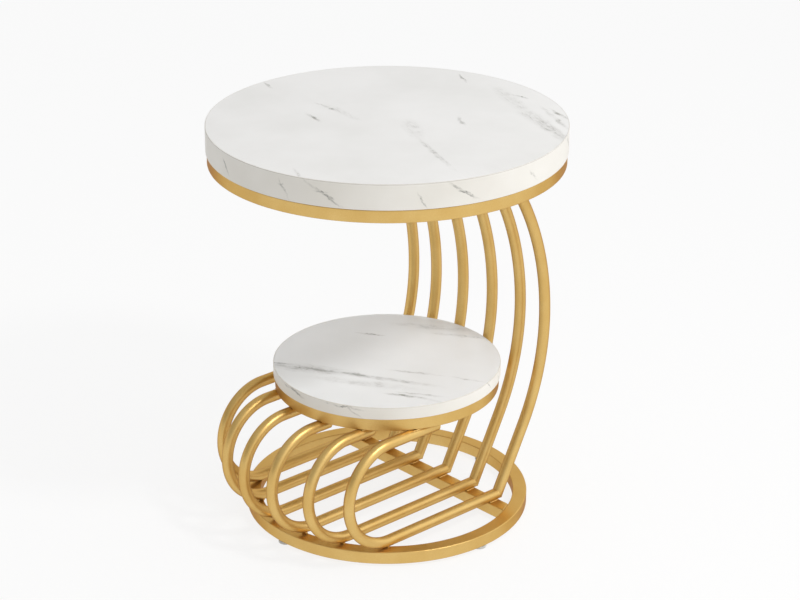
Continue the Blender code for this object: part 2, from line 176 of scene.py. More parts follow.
@dataclass(frozen=True)
class LacqueredSteel:
    """Steel tube and bar, sprayed with gold lacquer.

    The metal pigment gives a wide, soft highlight in the gold's own colour, and where a tube turns
    away from the eye it deepens to a brown gold. A spray coat is never quite level, so it shows a
    faint orange peel, and its tone drifts a little along a tube. The pigment is drawn at 0.9 mm,
    because the real 0.05 mm wouldn't show.
    """

    name: str = "gold_lacquered_steel"
    light_gold: str = "#F2D692"
    deep_gold: str = "#C89A46"
    edge_gold: str = "#985624"
    drift_mm: float = 45.0
    pigment_mm: float = 0.9
    tone_lift: float = 0.2
    peel_mm: float = 3.0
    peel_depth_mm: float = 0.12
    roughness: tuple[float, float] = (0.36, 0.44)
    metallic: float = 0.9
    coat: float = 0.15
    coat_roughness: float = 0.3

    def material(self) -> Material:
        """Build the material.

        Returns:
            The finish of the whole frame.
        """
        material, tree, shader = new_material(self.name)
        place = add_node(tree, "ShaderNodeTexCoord").outputs["Object"]
        drift = add_node(tree, "ShaderNodeTexNoise", {
            "Vector": place, "Scale": scale_for(self.drift_mm), "Detail": 2.0, "Roughness": 0.5})
        pigment = add_node(tree, "ShaderNodeTexNoise", {
            "Vector": place, "Scale": scale_for(self.pigment_mm), "Detail": 1.0, "Roughness": 0.6})
        tone = add_node(tree, "ShaderNodeMath", [
            drift, pigment, self.tone_lift], operation="MULTIPLY_ADD")
        colour = add_node(tree, "ShaderNodeMix", {
            FACTOR: tone, COLOUR_A: linear(self.deep_gold), COLOUR_B: linear(self.light_gold)},
            data_type="RGBA")
        rough = add_node(tree, "ShaderNodeMapRange", {
            "Value": pigment, "From Min": 0.3, "From Max": 0.7, "To Min": self.roughness[0],
            "To Max": self.roughness[1]})
        peel = add_node(tree, "ShaderNodeTexNoise", {
            "Vector": place, "Scale": scale_for(self.peel_mm), "Detail": 1.0, "Roughness": 0.4})
        bump = add_node(tree, "ShaderNodeBump", {
            "Height": peel, "Strength": 0.10, "Distance": self.peel_depth_mm * MM})
        fill_sockets(shader, {
            "Base Color": colour.outputs[MIXED_COLOUR], "Roughness": rough, "Normal": bump,
            "Metallic": self.metallic, "Specular Tint": linear(self.edge_gold),
            "Coat Weight": self.coat, "Coat Roughness": self.coat_roughness})
        return material


@dataclass(frozen=True)
class Vein:
    """One printed vein: a lens-shaped drift of grey.

    Its middle, length and width are in millimetres on its panel and its turn is in degrees. Its
    depth says how strongly it is printed.
    """

    along: float
    across: float
    length: float
    width: float
    turn: float
    depth: float


@dataclass(frozen=True)
class PrintedMarble:
    """Melamine laminate printed as white marble and pressed to a satin face.

    The print is nearly white with broad faint clouds, and sparse grey veins that all drift one way.
    Each vein is a bundle of fine strands, dark in its core and fading out to the sides. On an edge
    band, the cut lip along its upper edge shows the grey paper core as a hairline. The press
    texture is drawn at 0.8 mm, coarser than the real one, so that it shows.
    """

    name: str
    white: str
    shade: str
    grey: str
    veins: tuple[Vein, ...]
    grain_turn: float
    rim_height: float = 0.0
    core: str = "#98938A"
    cloud_mm: float = 110.0
    wander_mm: float = 26.0
    wander_reach_mm: float = 14.0
    wash: float = 0.24
    strand_mm: float = 2.4
    strand_stretch: float = 7.0
    strand_share: float = 0.30
    thread_mm: float = 13.0
    thread_stretch: float = 3.5
    thread_share: float = 0.34
    break_mm: float = 17.0
    lip_drop_mm: float = 0.9
    lip_core_mm: float = 0.2
    lip_fade_mm: float = 0.4
    lip_share: float = 0.55
    press_mm: float = 0.8
    press_depth_mm: float = 0.05
    roughness: tuple[float, float] = (0.38, 0.47)
    ior: float = 1.5

    def ground(self, tree: NodeTree, place: NodeSocket) -> NodeSocket:
        """Print the white ground with its faint clouds.

        Args:
            tree: The material's tree.
            place: Position on the panel.

        Returns:
            Colour of the ground there.
        """
        clouds = add_node(tree, "ShaderNodeTexNoise", {
            "Vector": place, "Scale": scale_for(self.cloud_mm), "Detail": 3.0, "Roughness": 0.5})
        share = add_node(tree, "ShaderNodeMapRange", {
            "Value": clouds, "From Min": 0.35, "From Max": 0.7, "To Min": 0.0, "To Max": 0.8})
        return add_node(tree, "ShaderNodeMix", {
            FACTOR: share, COLOUR_A: linear(self.white), COLOUR_B: linear(self.shade)},
            data_type="RGBA").outputs[MIXED_COLOUR]

    def vein_field(self, tree: NodeTree, place: NodeSocket) -> NodeSocket:
        """Add up the drifts of all the veins, which wander a little from their straight lines.

        Args:
            tree: The material's tree.
            place: Position on the panel.

        Returns:
            How strong the veins are there, from zero up.
        """
        bend = add_node(tree, "ShaderNodeTexNoise", {
            "Vector": place, "Scale": scale_for(self.wander_mm), "Detail": 6.0, "Roughness": 0.7})
        centred = add_node(tree, "ShaderNodeVectorMath", [
            bend.outputs["Color"], (0.5, 0.5, 0.5)], operation="SUBTRACT")
        shift = add_node(tree, "ShaderNodeVectorMath", {
            0: centred, "Scale": self.wander_reach_mm * MM}, operation="SCALE")
        wandered = add_node(tree, "ShaderNodeVectorMath", [place, shift], operation="ADD")
        drifts = [self.drift(tree, wandered, vein) for vein in self.veins]
        total = drifts[0]
        for drift in drifts[1:]:
            total = add_node(tree, "ShaderNodeMath", [total, drift], operation="ADD")
        return total.outputs[0]

    def drift(self, tree: NodeTree, place: Node, vein: Vein) -> Node:
        """Draw the lens of one vein.

        Args:
            tree: The material's tree.
            place: Node that gives the position on the panel.
            vein: The vein.

        Returns:
            Node that gives the vein's depth along its middle, fading to zero at its sides and ends.
        """
        # The lens reaches through the panel, so its third size is far more than any thickness.
        through = 1000.0
        lens = add_node(tree, "ShaderNodeMapping", {
            "Vector": place, "Location": (vein.along * MM, vein.across * MM, 0.0),
            "Rotation": (0.0, 0.0, math.radians(vein.turn)),
            "Scale": (vein.length / 2 * MM, vein.width / 2 * MM, through)}, vector_type="TEXTURE")
        reach = add_node(tree, "ShaderNodeVectorMath", [lens], operation="LENGTH")
        return add_node(tree, "ShaderNodeMapRange", {
            "Value": reach.outputs["Value"], "From Min": 0.1, "From Max": 1.0,
            "To Min": vein.depth, "To Max": 0.0}, interpolation_type="SMOOTHSTEP")

    def with_grain(self, tree: NodeTree, place: NodeSocket, stretch: float) -> Node:
        """Turn a position to the grain and stretch what is drawn there along it.

        Args:
            tree: The material's tree.
            place: Position on the panel.
            stretch: Length of a mark for its width.

        Returns:
            Node that gives the turned and stretched position.
        """
        turned = add_node(tree, "ShaderNodeMapping", {
            "Vector": place, "Rotation": (0.0, 0.0, -math.radians(self.grain_turn))},
            vector_type="POINT")
        return add_node(tree, "ShaderNodeVectorMath", [
            turned, (1.0 / stretch, 1.0, 1.0)], operation="MULTIPLY")

    def strands(self, tree: NodeTree, place: NodeSocket) -> Node:
        """Draw soft streaks that run with the grain.

        Args:
            tree: The material's tree.
            place: Position on the panel.

        Returns:
            Node that gives their strength, from zero to one.
        """
        noise = add_node(tree, "ShaderNodeTexNoise", {
            "Vector": self.with_grain(tree, place, self.strand_stretch),
            "Scale": scale_for(self.strand_mm), "Detail": 4.0, "Roughness": 0.6, "Distortion": 0.6})
        return add_node(tree, "ShaderNodeMapRange", {
            "Value": noise, "From Min": 0.46, "From Max": 0.66, "To Min": 0.0, "To Max": 1.0},
            interpolation_type="SMOOTHSTEP")

    def threads(self, tree: NodeTree, place: NodeSocket) -> Node:
        """Draw thin jagged lines, where a stretched noise crosses its middle.

        Args:
            tree: The material's tree.
            place: Position on the panel.

        Returns:
            Node that gives their strength, from zero to one.
        """
        noise = add_node(tree, "ShaderNodeTexNoise", {
            "Vector": self.with_grain(tree, place, self.thread_stretch),
            "Scale": scale_for(self.thread_mm), "Detail": 5.0, "Roughness": 0.62,
            "Distortion": 0.4})
        off = add_node(tree, "ShaderNodeMath", [noise, 0.5], operation="SUBTRACT")
        away = add_node(tree, "ShaderNodeMath", [off], operation="ABSOLUTE")
        return add_node(tree, "ShaderNodeMapRange", {
            "Value": away, "From Min": 0.006, "From Max": 0.045, "To Min": 1.0, "To Max": 0.0},
            interpolation_type="SMOOTHSTEP")

    def vein_grey(self, tree: NodeTree, place: NodeSocket) -> Node:
        """Print the veins: an even wash with strands and threads in it, broken up along the way.

        Args:
            tree: The material's tree.
            place: Position on the panel.

        Returns:
            Node that gives the share of grey, from zero to one.
        """
        body = add_node(tree, "ShaderNodeMath", [
            self.strands(tree, place), self.strand_share, self.wash],
            operation="MULTIPLY_ADD")
        bundle = add_node(tree, "ShaderNodeMath", [
            self.threads(tree, place), self.thread_share, body], operation="MULTIPLY_ADD")
        breaks = add_node(tree, "ShaderNodeTexNoise", {
            "Vector": place, "Scale": scale_for(self.break_mm), "Detail": 3.0, "Roughness": 0.6})
        patch = add_node(tree, "ShaderNodeMapRange", {
            "Value": breaks, "From Min": 0.36, "From Max": 0.64, "To Min": 0.35, "To Max": 1.4})
        broken = add_node(tree, "ShaderNodeMath", [bundle, patch], operation="MULTIPLY")
        return add_node(tree, "ShaderNodeMath", [
            self.vein_field(tree, place), broken], operation="MULTIPLY", use_clamp=True)

    def with_lip(self, tree: NodeTree, place: NodeSocket, printed: NodeSocket) -> NodeSocket:
        """Draw the hairline of the paper core along the upper edge of a band.

        Args:
            tree: The material's tree.
            place: Position on the rim.
            printed: Colour of the print.

        Returns:
            Colour of the print with the hairline.
        """
        height = add_node(tree, "ShaderNodeSeparateXYZ", {"Vector": place}).outputs["Y"]
        below = add_node(tree, "ShaderNodeMath", [
            height, self.rim_height - self.lip_drop_mm * MM], operation="SUBTRACT")
        away = add_node(tree, "ShaderNodeMath", [below], operation="ABSOLUTE")
        lip = add_node(tree, "ShaderNodeMapRange", {
            "Value": away, "From Min": self.lip_core_mm * MM, "From Max": self.lip_fade_mm * MM,
            "To Min": self.lip_share, "To Max": 0.0})
        return add_node(tree, "ShaderNodeMix", {
            FACTOR: lip, COLOUR_A: printed, COLOUR_B: linear(self.core)},
            data_type="RGBA").outputs[MIXED_COLOUR]

    def material(self) -> Material:
        """Build the material, on Object coordinates for a face and on the rim's own map for a band.

        Returns:
            The finish of one sheet or band.
        """
        material, tree, shader = new_material(self.name)
        on_rim = self.rim_height > 0.0
        if on_rim:
            place = add_node(tree, "ShaderNodeUVMap", uv_map=RIM_MAP).outputs["UV"]
        else:
            place = add_node(tree, "ShaderNodeTexCoord").outputs["Object"]
        printed = add_node(tree, "ShaderNodeMix", {
            FACTOR: self.vein_grey(tree, place), COLOUR_A: self.ground(tree, place),
            COLOUR_B: linear(self.grey)}, data_type="RGBA").outputs[MIXED_COLOUR]
        if on_rim:
            printed = self.with_lip(tree, place, printed)
        press = add_node(tree, "ShaderNodeTexNoise", {
            "Vector": place, "Scale": scale_for(self.press_mm), "Detail": 2.0})
        rough = add_node(tree, "ShaderNodeMapRange", {
            "Value": press, "From Min": 0.3, "From Max": 0.7, "To Min": self.roughness[0],
            "To Max": self.roughness[1]})
        bump = add_node(tree, "ShaderNodeBump", {
            "Height": press, "Strength": 0.06, "Distance": self.press_depth_mm * MM})
        fill_sockets(shader, {
            "Base Color": printed, "Roughness": rough, "Normal": bump, "IOR": self.ior})
        return material


@dataclass(frozen=True)
class BackedBoard:
    """Medium-density fibreboard with a white backing paper pressed on.

    It is matt, and slightly mottled by the fibres under the paper.
    """

    name: str = "paper_backed_fibreboard"
    body_colour: str = "#F0EFEB"
    fibre_colour: str = "#DEDBD4"
    fibre_mm: float = 1.2
    fibre_depth_mm: float = 0.1
    roughness: float = 0.82

    def material(self) -> Material:
        """Build the material.

        Returns:
            The finish of both boards.
        """
        material, tree, shader = new_material(self.name)
        place = add_node(tree, "ShaderNodeTexCoord").outputs["Object"]
        fibres = add_node(tree, "ShaderNodeTexNoise", {
            "Vector": place, "Scale": scale_for(self.fibre_mm), "Detail": 4.0, "Roughness": 0.7,
            "Distortion": 1.5})
        share = add_node(tree, "ShaderNodeMapRange", {
            "Value": fibres, "From Min": 0.45, "From Max": 0.75, "To Min": 0.0, "To Max": 0.8})
        colour = add_node(tree, "ShaderNodeMix", {
            FACTOR: share, COLOUR_A: linear(self.body_colour), COLOUR_B: linear(self.fibre_colour)},
            data_type="RGBA")
        bump = add_node(tree, "ShaderNodeBump", {
            "Height": fibres, "Strength": 0.25, "Distance": self.fibre_depth_mm * MM})
        fill_sockets(shader, {
            "Base Color": colour.outputs[MIXED_COLOUR], "Normal": bump,
            "Roughness": self.roughness})
        return material


@dataclass(frozen=True)
class PlainMetal:
    """A small turned or plated metal piece, with fine turning marks round its axis.

    The marks are drawn at about four times their real pitch, so that they show.
    """

    name: str
    bright: str
    dull: str
    roughness: tuple[float, float]
    mark_mm: float = 0.35
    mark_stretch: float = 0.2

    def material(self) -> Material:
        """Build the material.

        Returns:
            The finish of one kind of fixing.
        """
        material, tree, shader = new_material(self.name)
        place = add_node(tree, "ShaderNodeTexCoord").outputs["Object"]
        drawn = add_node(tree, "ShaderNodeVectorMath", [
            place, (self.mark_stretch, self.mark_stretch, 1.0)], operation="MULTIPLY")
        marks = add_node(tree, "ShaderNodeTexNoise", {
            "Vector": drawn, "Scale": scale_for(self.mark_mm), "Detail": 3.0, "Roughness": 0.6})
        colour = add_node(tree, "ShaderNodeMix", {
            FACTOR: marks, COLOUR_A: linear(self.bright), COLOUR_B: linear(self.dull)},
            data_type="RGBA")
        rough = add_node(tree, "ShaderNodeMapRange", {
            "Value": marks, "From Min": 0.3, "From Max": 0.7, "To Min": self.roughness[0],
            "To Max": self.roughness[1]})
        fill_sockets(shader, {
            "Base Color": colour.outputs[MIXED_COLOUR], "Roughness": rough, "Metallic": 1.0})
        return material


@dataclass(frozen=True)
class GlidePlastic:
    """Natural polyethylene, injection moulded.

    It is pale, waxy and slightly see-through, with a fine matt skin.
    """

    name: str = "moulded_polyethylene"
    body_colour: str = "#DEDEDA"
    scuff_colour: str = "#C6C5BF"
    skin_mm: float = 0.7
    skin_depth_mm: float = 0.05
    roughness: float = 0.45
    ior: float = 1.51
    see_through: float = 0.25

    def material(self) -> Material:
        """Build the material.

        Returns:
            The finish of the glides.
        """
        material, tree, shader = new_material(self.name)
        place = add_node(tree, "ShaderNodeTexCoord").outputs["Object"]
        skin = add_node(tree, "ShaderNodeTexNoise", {
            "Vector": place, "Scale": scale_for(self.skin_mm), "Detail": 2.0, "Roughness": 0.5})
        colour = add_node(tree, "ShaderNodeMix", {
            FACTOR: skin, COLOUR_A: linear(self.body_colour), COLOUR_B: linear(self.scuff_colour)},
            data_type="RGBA")
        bump = add_node(tree, "ShaderNodeBump", {
            "Height": skin, "Strength": 0.1, "Distance": self.skin_depth_mm * MM})
        fill_sockets(shader, {
            "Base Color": colour.outputs[MIXED_COLOUR], "Normal": bump,
            "Roughness": self.roughness, "IOR": self.ior, "Transmission Weight": self.see_through})
        return material


def new_piece(name: str, bm: BMesh) -> Object:
    """Turn a bmesh into an object at the origin.

    Args:
        name: Name of the piece.
        bm: Its mesh, which is freed.

    Returns:
        The object, linked into the scene.
    """
    mesh = bpy.data.meshes.new(name)
    bm.to_mesh(mesh)
    bm.free()
    piece = bpy.data.objects.new(name, mesh)
    bpy.context.scene.collection.objects.link(piece)
    return piece


def bake(piece: Object) -> None:
    """Replace a piece's mesh by what its modifiers make of it, and remove them.

    Args:
        piece: The piece.
    """
    depsgraph = bpy.context.evaluated_depsgraph_get()
    made = bpy.data.meshes.new_from_object(
        piece.evaluated_get(depsgraph), preserve_all_data_layers=True, depsgraph=depsgraph)
    worn = piece.data
    piece.modifiers.clear()
    piece.data = made
    made.name = piece.name
    bpy.data.meshes.remove(worn)


def weigh_normals(piece: Object) -> None:
    """Shade a piece smooth, with normals that keep its large faces flat.

    Args:
        piece: The piece.
    """
    piece.data.shade_smooth()
    modifier = piece.modifiers.new("flat_faces", "WEIGHTED_NORMAL")
    modifier.weight = FACE_WEIGHT
    bake(piece)


def ease_edges(piece: Object, width: float, segments: int = 3) -> None:
    """Round a piece's sharp edges.

    Args:
        piece: The piece.
        width: Width of the rounding.
        segments: Faces across the rounding.
    """
    modifier = piece.modifiers.new("eased_edges", "BEVEL")
    modifier.width = width
    modifier.segments = segments
    modifier.limit_method = "ANGLE"
    modifier.angle_limit = SHARP_EDGE
    bake(piece)


def raise_faces(bm: BMesh, height: float) -> None:
    """Give the flat faces of a bmesh their thickness along Z, and turn all faces outwards.

    Args:
        bm: The bmesh.
        height: Thickness, negative for downwards.
    """
    drawn = bmesh.ops.extrude_face_region(bm, geom=bm.faces[:])
    verts = [item for item in drawn["geom"] if isinstance(item, BMVert)]
    bmesh.ops.translate(bm, verts=verts, vec=(0.0, 0.0, height))
    bmesh.ops.recalc_face_normals(bm, faces=bm.faces)


def cut_away(bm: BMesh, point: Vector, normal: Vector) -> None:
    """Cut off the part of a bmesh that lies on one side of a plane.

    Args:
        bm: The bmesh.
        point: Point on the plane.
        normal: Normal of the plane. What lies on its side goes.
    """
    bmesh.ops.bisect_plane(
        bm, geom=bm.verts[:] + bm.edges[:] + bm.faces[:], plane_co=point, plane_no=normal,
        clear_outer=True)


def fit_to_frame(piece: Object, material: Material, nodes: Iterable[str] = ()) -> None:
    """Give a finished piece its material, put it on the body and let it stand for its CAD nodes.

    Args:
        piece: The finished piece.
        material: Its finish.
        nodes: CAD nodes that it stands for.
    """
    piece.data.materials.clear()
    piece.data.materials.append(material)
    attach(piece, BODY)
    names = list(nodes)
    if names:
        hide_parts(*names)
    piece.data.calc_loop_triangles()
    triangles = len(piece.data.loop_triangles)
    log.info("%s: %d triangles, stands for %s", piece.name, triangles, names or "no node")


def spin_profile(profile: list[tuple[float, float]], segments: int, closed: bool) -> BMesh:
    """Turn a profile once round the Z axis.

    Args:
        profile: Points of (radius, height).
        segments: Faces round the axis.
        closed: Whether the last point joins the first.

    Returns:
        A bmesh with its doubles merged and its faces outwards.
    """
    bm = bmesh.new()
    verts = [bm.verts.new((radius, 0.0, height)) for radius, height in profile]
    edges = [bm.edges.new(pair) for pair in zip(verts, verts[1:])]
    if closed:
        edges.append(bm.edges.new((verts[-1], verts[0])))
    bmesh.ops.spin(
        bm, geom=verts + edges, cent=(0.0, 0.0, 0.0), axis=(0.0, 0.0, 1.0), angle=FULL_TURN,
        steps=segments, use_merge=True)
    bmesh.ops.remove_doubles(bm, verts=bm.verts, dist=MERGE)
    bmesh.ops.recalc_face_normals(bm, faces=bm.faces)
    return bm


@dataclass
class NodeShape:
    """A Geometry Nodes tree with named inputs, which shapes pieces."""

    name: str
    sizes: dict[str, SizeKind]
    tree: NodeTree = field(init=False)
    given: bpy.types.bpy_prop_collection = field(init=False)

    def __post_init__(self) -> None:
        """Make the tree with its inputs and one output."""
        self.tree = bpy.data.node_groups.new(self.name, "GeometryNodeTree")
        sockets = [("Geometry", "INPUT", "NodeSocketGeometry")]
        sockets += [(label, "INPUT", kind.value) for label, kind in self.sizes.items()]
        sockets += [("Material", "INPUT", "NodeSocketMaterial")]
        sockets += [("Geometry", "OUTPUT", "NodeSocketGeometry")]
        for label, way, kind in sockets:
            self.tree.interface.new_socket(label, in_out=way, socket_type=kind)
        self.given = add_node(self.tree, "NodeGroupInput").outputs

    def finish(self, shape: Node) -> None:
        """End the tree: real geometry with its material.

        Args:
            shape: Node that gives the finished shape.
        """
        smooth = add_node(self.tree, "GeometryNodeSetShadeSmooth", {"Geometry": shape})
        real = add_node(self.tree, "GeometryNodeRealizeInstances", {"Geometry": smooth})
        dressed = add_node(self.tree, "GeometryNodeSetMaterial", {
            "Geometry": real, "Material": self.given["Material"]})
        add_node(self.tree, "NodeGroupOutput", {"Geometry": dressed})

    def shape(self, piece: Object, material: Material, **sizes: float | int) -> None:
        """Run the tree on a piece and keep the result as its plain mesh.

        Args:
            piece: Object that the tree starts from.
            material: Finish that the tree sets.
            **sizes: Values for the named inputs, with underscores for spaces.
        """
        wanted = {label.replace("_", " "): value for label, value in sizes.items()}
        wanted["Material"] = material
        modifier = piece.modifiers.new(self.name, "NODES")
        modifier.node_group = self.tree
        for item in self.tree.interface.items_tree:
            if item.in_out == "INPUT" and item.name in wanted:
                modifier[item.identifier] = wanted[item.name]
        bake(piece)


def rolled_bar_shape() -> NodeShape:
    """Make the tree for a bar with rounded corners, rolled into a ring about the Z axis.

    Returns:
        The tree.
    """
    shape = NodeShape("rolled_bar", {
        "Middle Radius": SizeKind.MEASURE, "Width": SizeKind.MEASURE, "Height": SizeKind.MEASURE,
        "Corner": SizeKind.MEASURE, "Base": SizeKind.MEASURE, "Segments": SizeKind.COUNT})
    tree, given = shape.tree, shape.given
    path = add_node(tree, "GeometryNodeCurvePrimitiveCircle", {
        "Resolution": given["Segments"], "Radius": given["Middle Radius"]})
    section = add_node(tree, "GeometryNodeCurvePrimitiveQuadrilateral", {
        "Width": given["Width"], "Height": given["Height"]})
    rounded = add_node(tree, "GeometryNodeFilletCurve", {
        "Curve": section, "Radius": given["Corner"], "Count": 3}, mode="POLY")
    bar = add_node(tree, "GeometryNodeCurveToMesh", {"Curve": path, "Profile Curve": rounded})
    middle = add_node(tree, "ShaderNodeMath", [
        given["Height"], 0.5, given["Base"]], operation="MULTIPLY_ADD")
    lift = add_node(tree, "ShaderNodeCombineXYZ", {"Z": middle})
    shape.finish(add_node(tree, "GeometryNodeTransform", {"Geometry": bar, "Translation": lift}))
    return shape


def drawn_tube_shape() -> NodeShape:
    """Make the tree for a round tube drawn along the piece's own path of edges.

    Returns:
        The tree.
    """
    shape = NodeShape("drawn_tube", {"Tube Radius": SizeKind.MEASURE, "Sides": SizeKind.COUNT})
    tree, given = shape.tree, shape.given
    path = add_node(tree, "GeometryNodeMeshToCurve", {"Mesh": given["Geometry"]})
    section = add_node(tree, "GeometryNodeCurvePrimitiveCircle", {
        "Resolution": given["Sides"], "Radius": given["Tube Radius"]})
    shape.finish(add_node(tree, "GeometryNodeCurveToMesh", {
        "Curve": path, "Profile Curve": section, "Fill Caps": True}))
    return shape


def weld_bead_shape() -> NodeShape:
    """Make the tree for a rippled weld bead along each of the piece's paths.

    The bead is as thick as each point's own bead size.

    Returns:
        The tree.
    """
    shape = NodeShape("weld_bead", {
        "Step": SizeKind.MEASURE, "Ripple Pitch": SizeKind.MEASURE, "Ripple": SizeKind.MEASURE,
        "Sides": SizeKind.COUNT})
    tree, given = shape.tree, shape.given
    path = add_node(tree, "GeometryNodeMeshToCurve", {"Mesh": given["Geometry"]})
    even = add_node(tree, "GeometryNodeResampleCurve", {
        "Curve": path, "Length": given["Step"]}, mode="LENGTH")
    size = add_node(tree, "GeometryNodeInputNamedAttribute", {"Name": BEAD_SIZE}, data_type="FLOAT")
    gone = add_node(tree, "GeometryNodeSplineParameter").outputs["Length"]
    turns = add_node(tree, "ShaderNodeMath", [gone, given["Ripple Pitch"]], operation="DIVIDE")
    angle = add_node(tree, "ShaderNodeMath", [turns, FULL_TURN], operation="MULTIPLY")
    wave = add_node(tree, "ShaderNodeMath", [angle], operation="SINE")
    swell = add_node(tree, "ShaderNodeMath", [wave, given["Ripple"], 1.0], operation="MULTIPLY_ADD")
    girth = add_node(tree, "ShaderNodeMath", [swell, size], operation="MULTIPLY")
    section = add_node(tree, "GeometryNodeCurvePrimitiveCircle", {
        "Resolution": given["Sides"], "Radius": 1.0})
    shape.finish(add_node(tree, "GeometryNodeCurveToMesh", {
        "Curve": even, "Profile Curve": section, "Scale": girth, "Fill Caps": True}))
    return shape


def copies_round_axis_shape() -> NodeShape:
    """Make the tree that repeats the piece's own mesh at equal angles round the Z axis.

    Returns:
        The tree.
    """
    shape = NodeShape("copies_round_axis", {
        "Count": SizeKind.COUNT, "First Angle": SizeKind.MEASURE})
    tree, given = shape.tree, shape.given
    points = add_node(tree, "GeometryNodeMeshLine", {
        "Count": given["Count"], "Offset": (0.0, 0.0, 0.0)})
    step = add_node(tree, "ShaderNodeMath", [FULL_TURN, given["Count"]], operation="DIVIDE")
    index = add_node(tree, "GeometryNodeInputIndex")
    angle = add_node(tree, "ShaderNodeMath", [
        index, step, given["First Angle"]], operation="MULTIPLY_ADD")
    euler = add_node(tree, "ShaderNodeCombineXYZ", {"Z": angle})
    turn = add_node(tree, "FunctionNodeEulerToRotation", {"Euler": euler})
    shape.finish(add_node(tree, "GeometryNodeInstanceOnPoints", {
        "Points": points, "Instance": given["Geometry"], "Rotation": turn}))
    return shape


@dataclass(frozen=True)
class Workshop:
    """The frame's finish and the trees that shape its pieces."""

    gold: Material
    rolled_bar: NodeShape
    drawn_tube: NodeShape
    weld_bead: NodeShape
    copies: NodeShape


@dataclass
class RingBar:
    """One of the frame's rings, with the crossbar welded across it if it has one."""

    name: str
    shop: Workshop
    width: float = 0.020
    corner: float = 0.0015
    cope: float = 0.0002
    segments: int = 240
    base: float = field(init=False)
    top: float = field(init=False)
    outer: float = field(init=False)
    inner: float = field(init=False)

    def __post_init__(self) -> None:
        """Take the ring's size and place from its CAD node."""
        low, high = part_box(self.name)
        self.base, self.top = low[2], high[2]
        self.outer = high[0]
        self.inner = self.outer - self.width

    def build_ring(self) -> None:
        """Roll the ring from its bar."""
        piece = new_piece(f"{self.name}_bar", bmesh.new())
        self.shop.rolled_bar.shape(
            piece, self.shop.gold, Middle_Radius=self.outer - self.width / 2, Width=self.width,
            Height=self.top - self.base, Corner=self.corner, Base=self.base,
            Segments=self.segments)
        weigh_normals(piece)
        fit_to_frame(piece, self.shop.gold, [self.name])

    def build_crossbar(self, node: str) -> None:
        """Cut the crossbar from the disc inside the ring, so that its ends are coped to the wall.

        Args:
            node: CAD node of the crossbar.
        """
        low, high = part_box(node)
        bm = bmesh.new()
        bmesh.ops.create_circle(
            bm, cap_ends=True, segments=self.segments, radius=self.inner + self.cope,
            matrix=Matrix.Translation((0.0, 0.0, low[2])))
        for side, edge in ((-1.0, low[1]), (1.0, high[1])):
            cut_away(bm, Vector((0.0, edge, 0.0)), Vector((0.0, side, 0.0)))
        raise_faces(bm, high[2] - low[2])
        piece = new_piece(f"{node}_bar", bm)
        ease_edges(piece, self.corner)
        weigh_normals(piece)
        fit_to_frame(piece, self.shop.gold, [node])


def heading_vector(heading: float) -> Vector:
    """Unit direction in the upright YZ plane: zero is +Y, a quarter turn is +Z."""
    return Vector((0.0, math.cos(heading), math.sin(heading)))


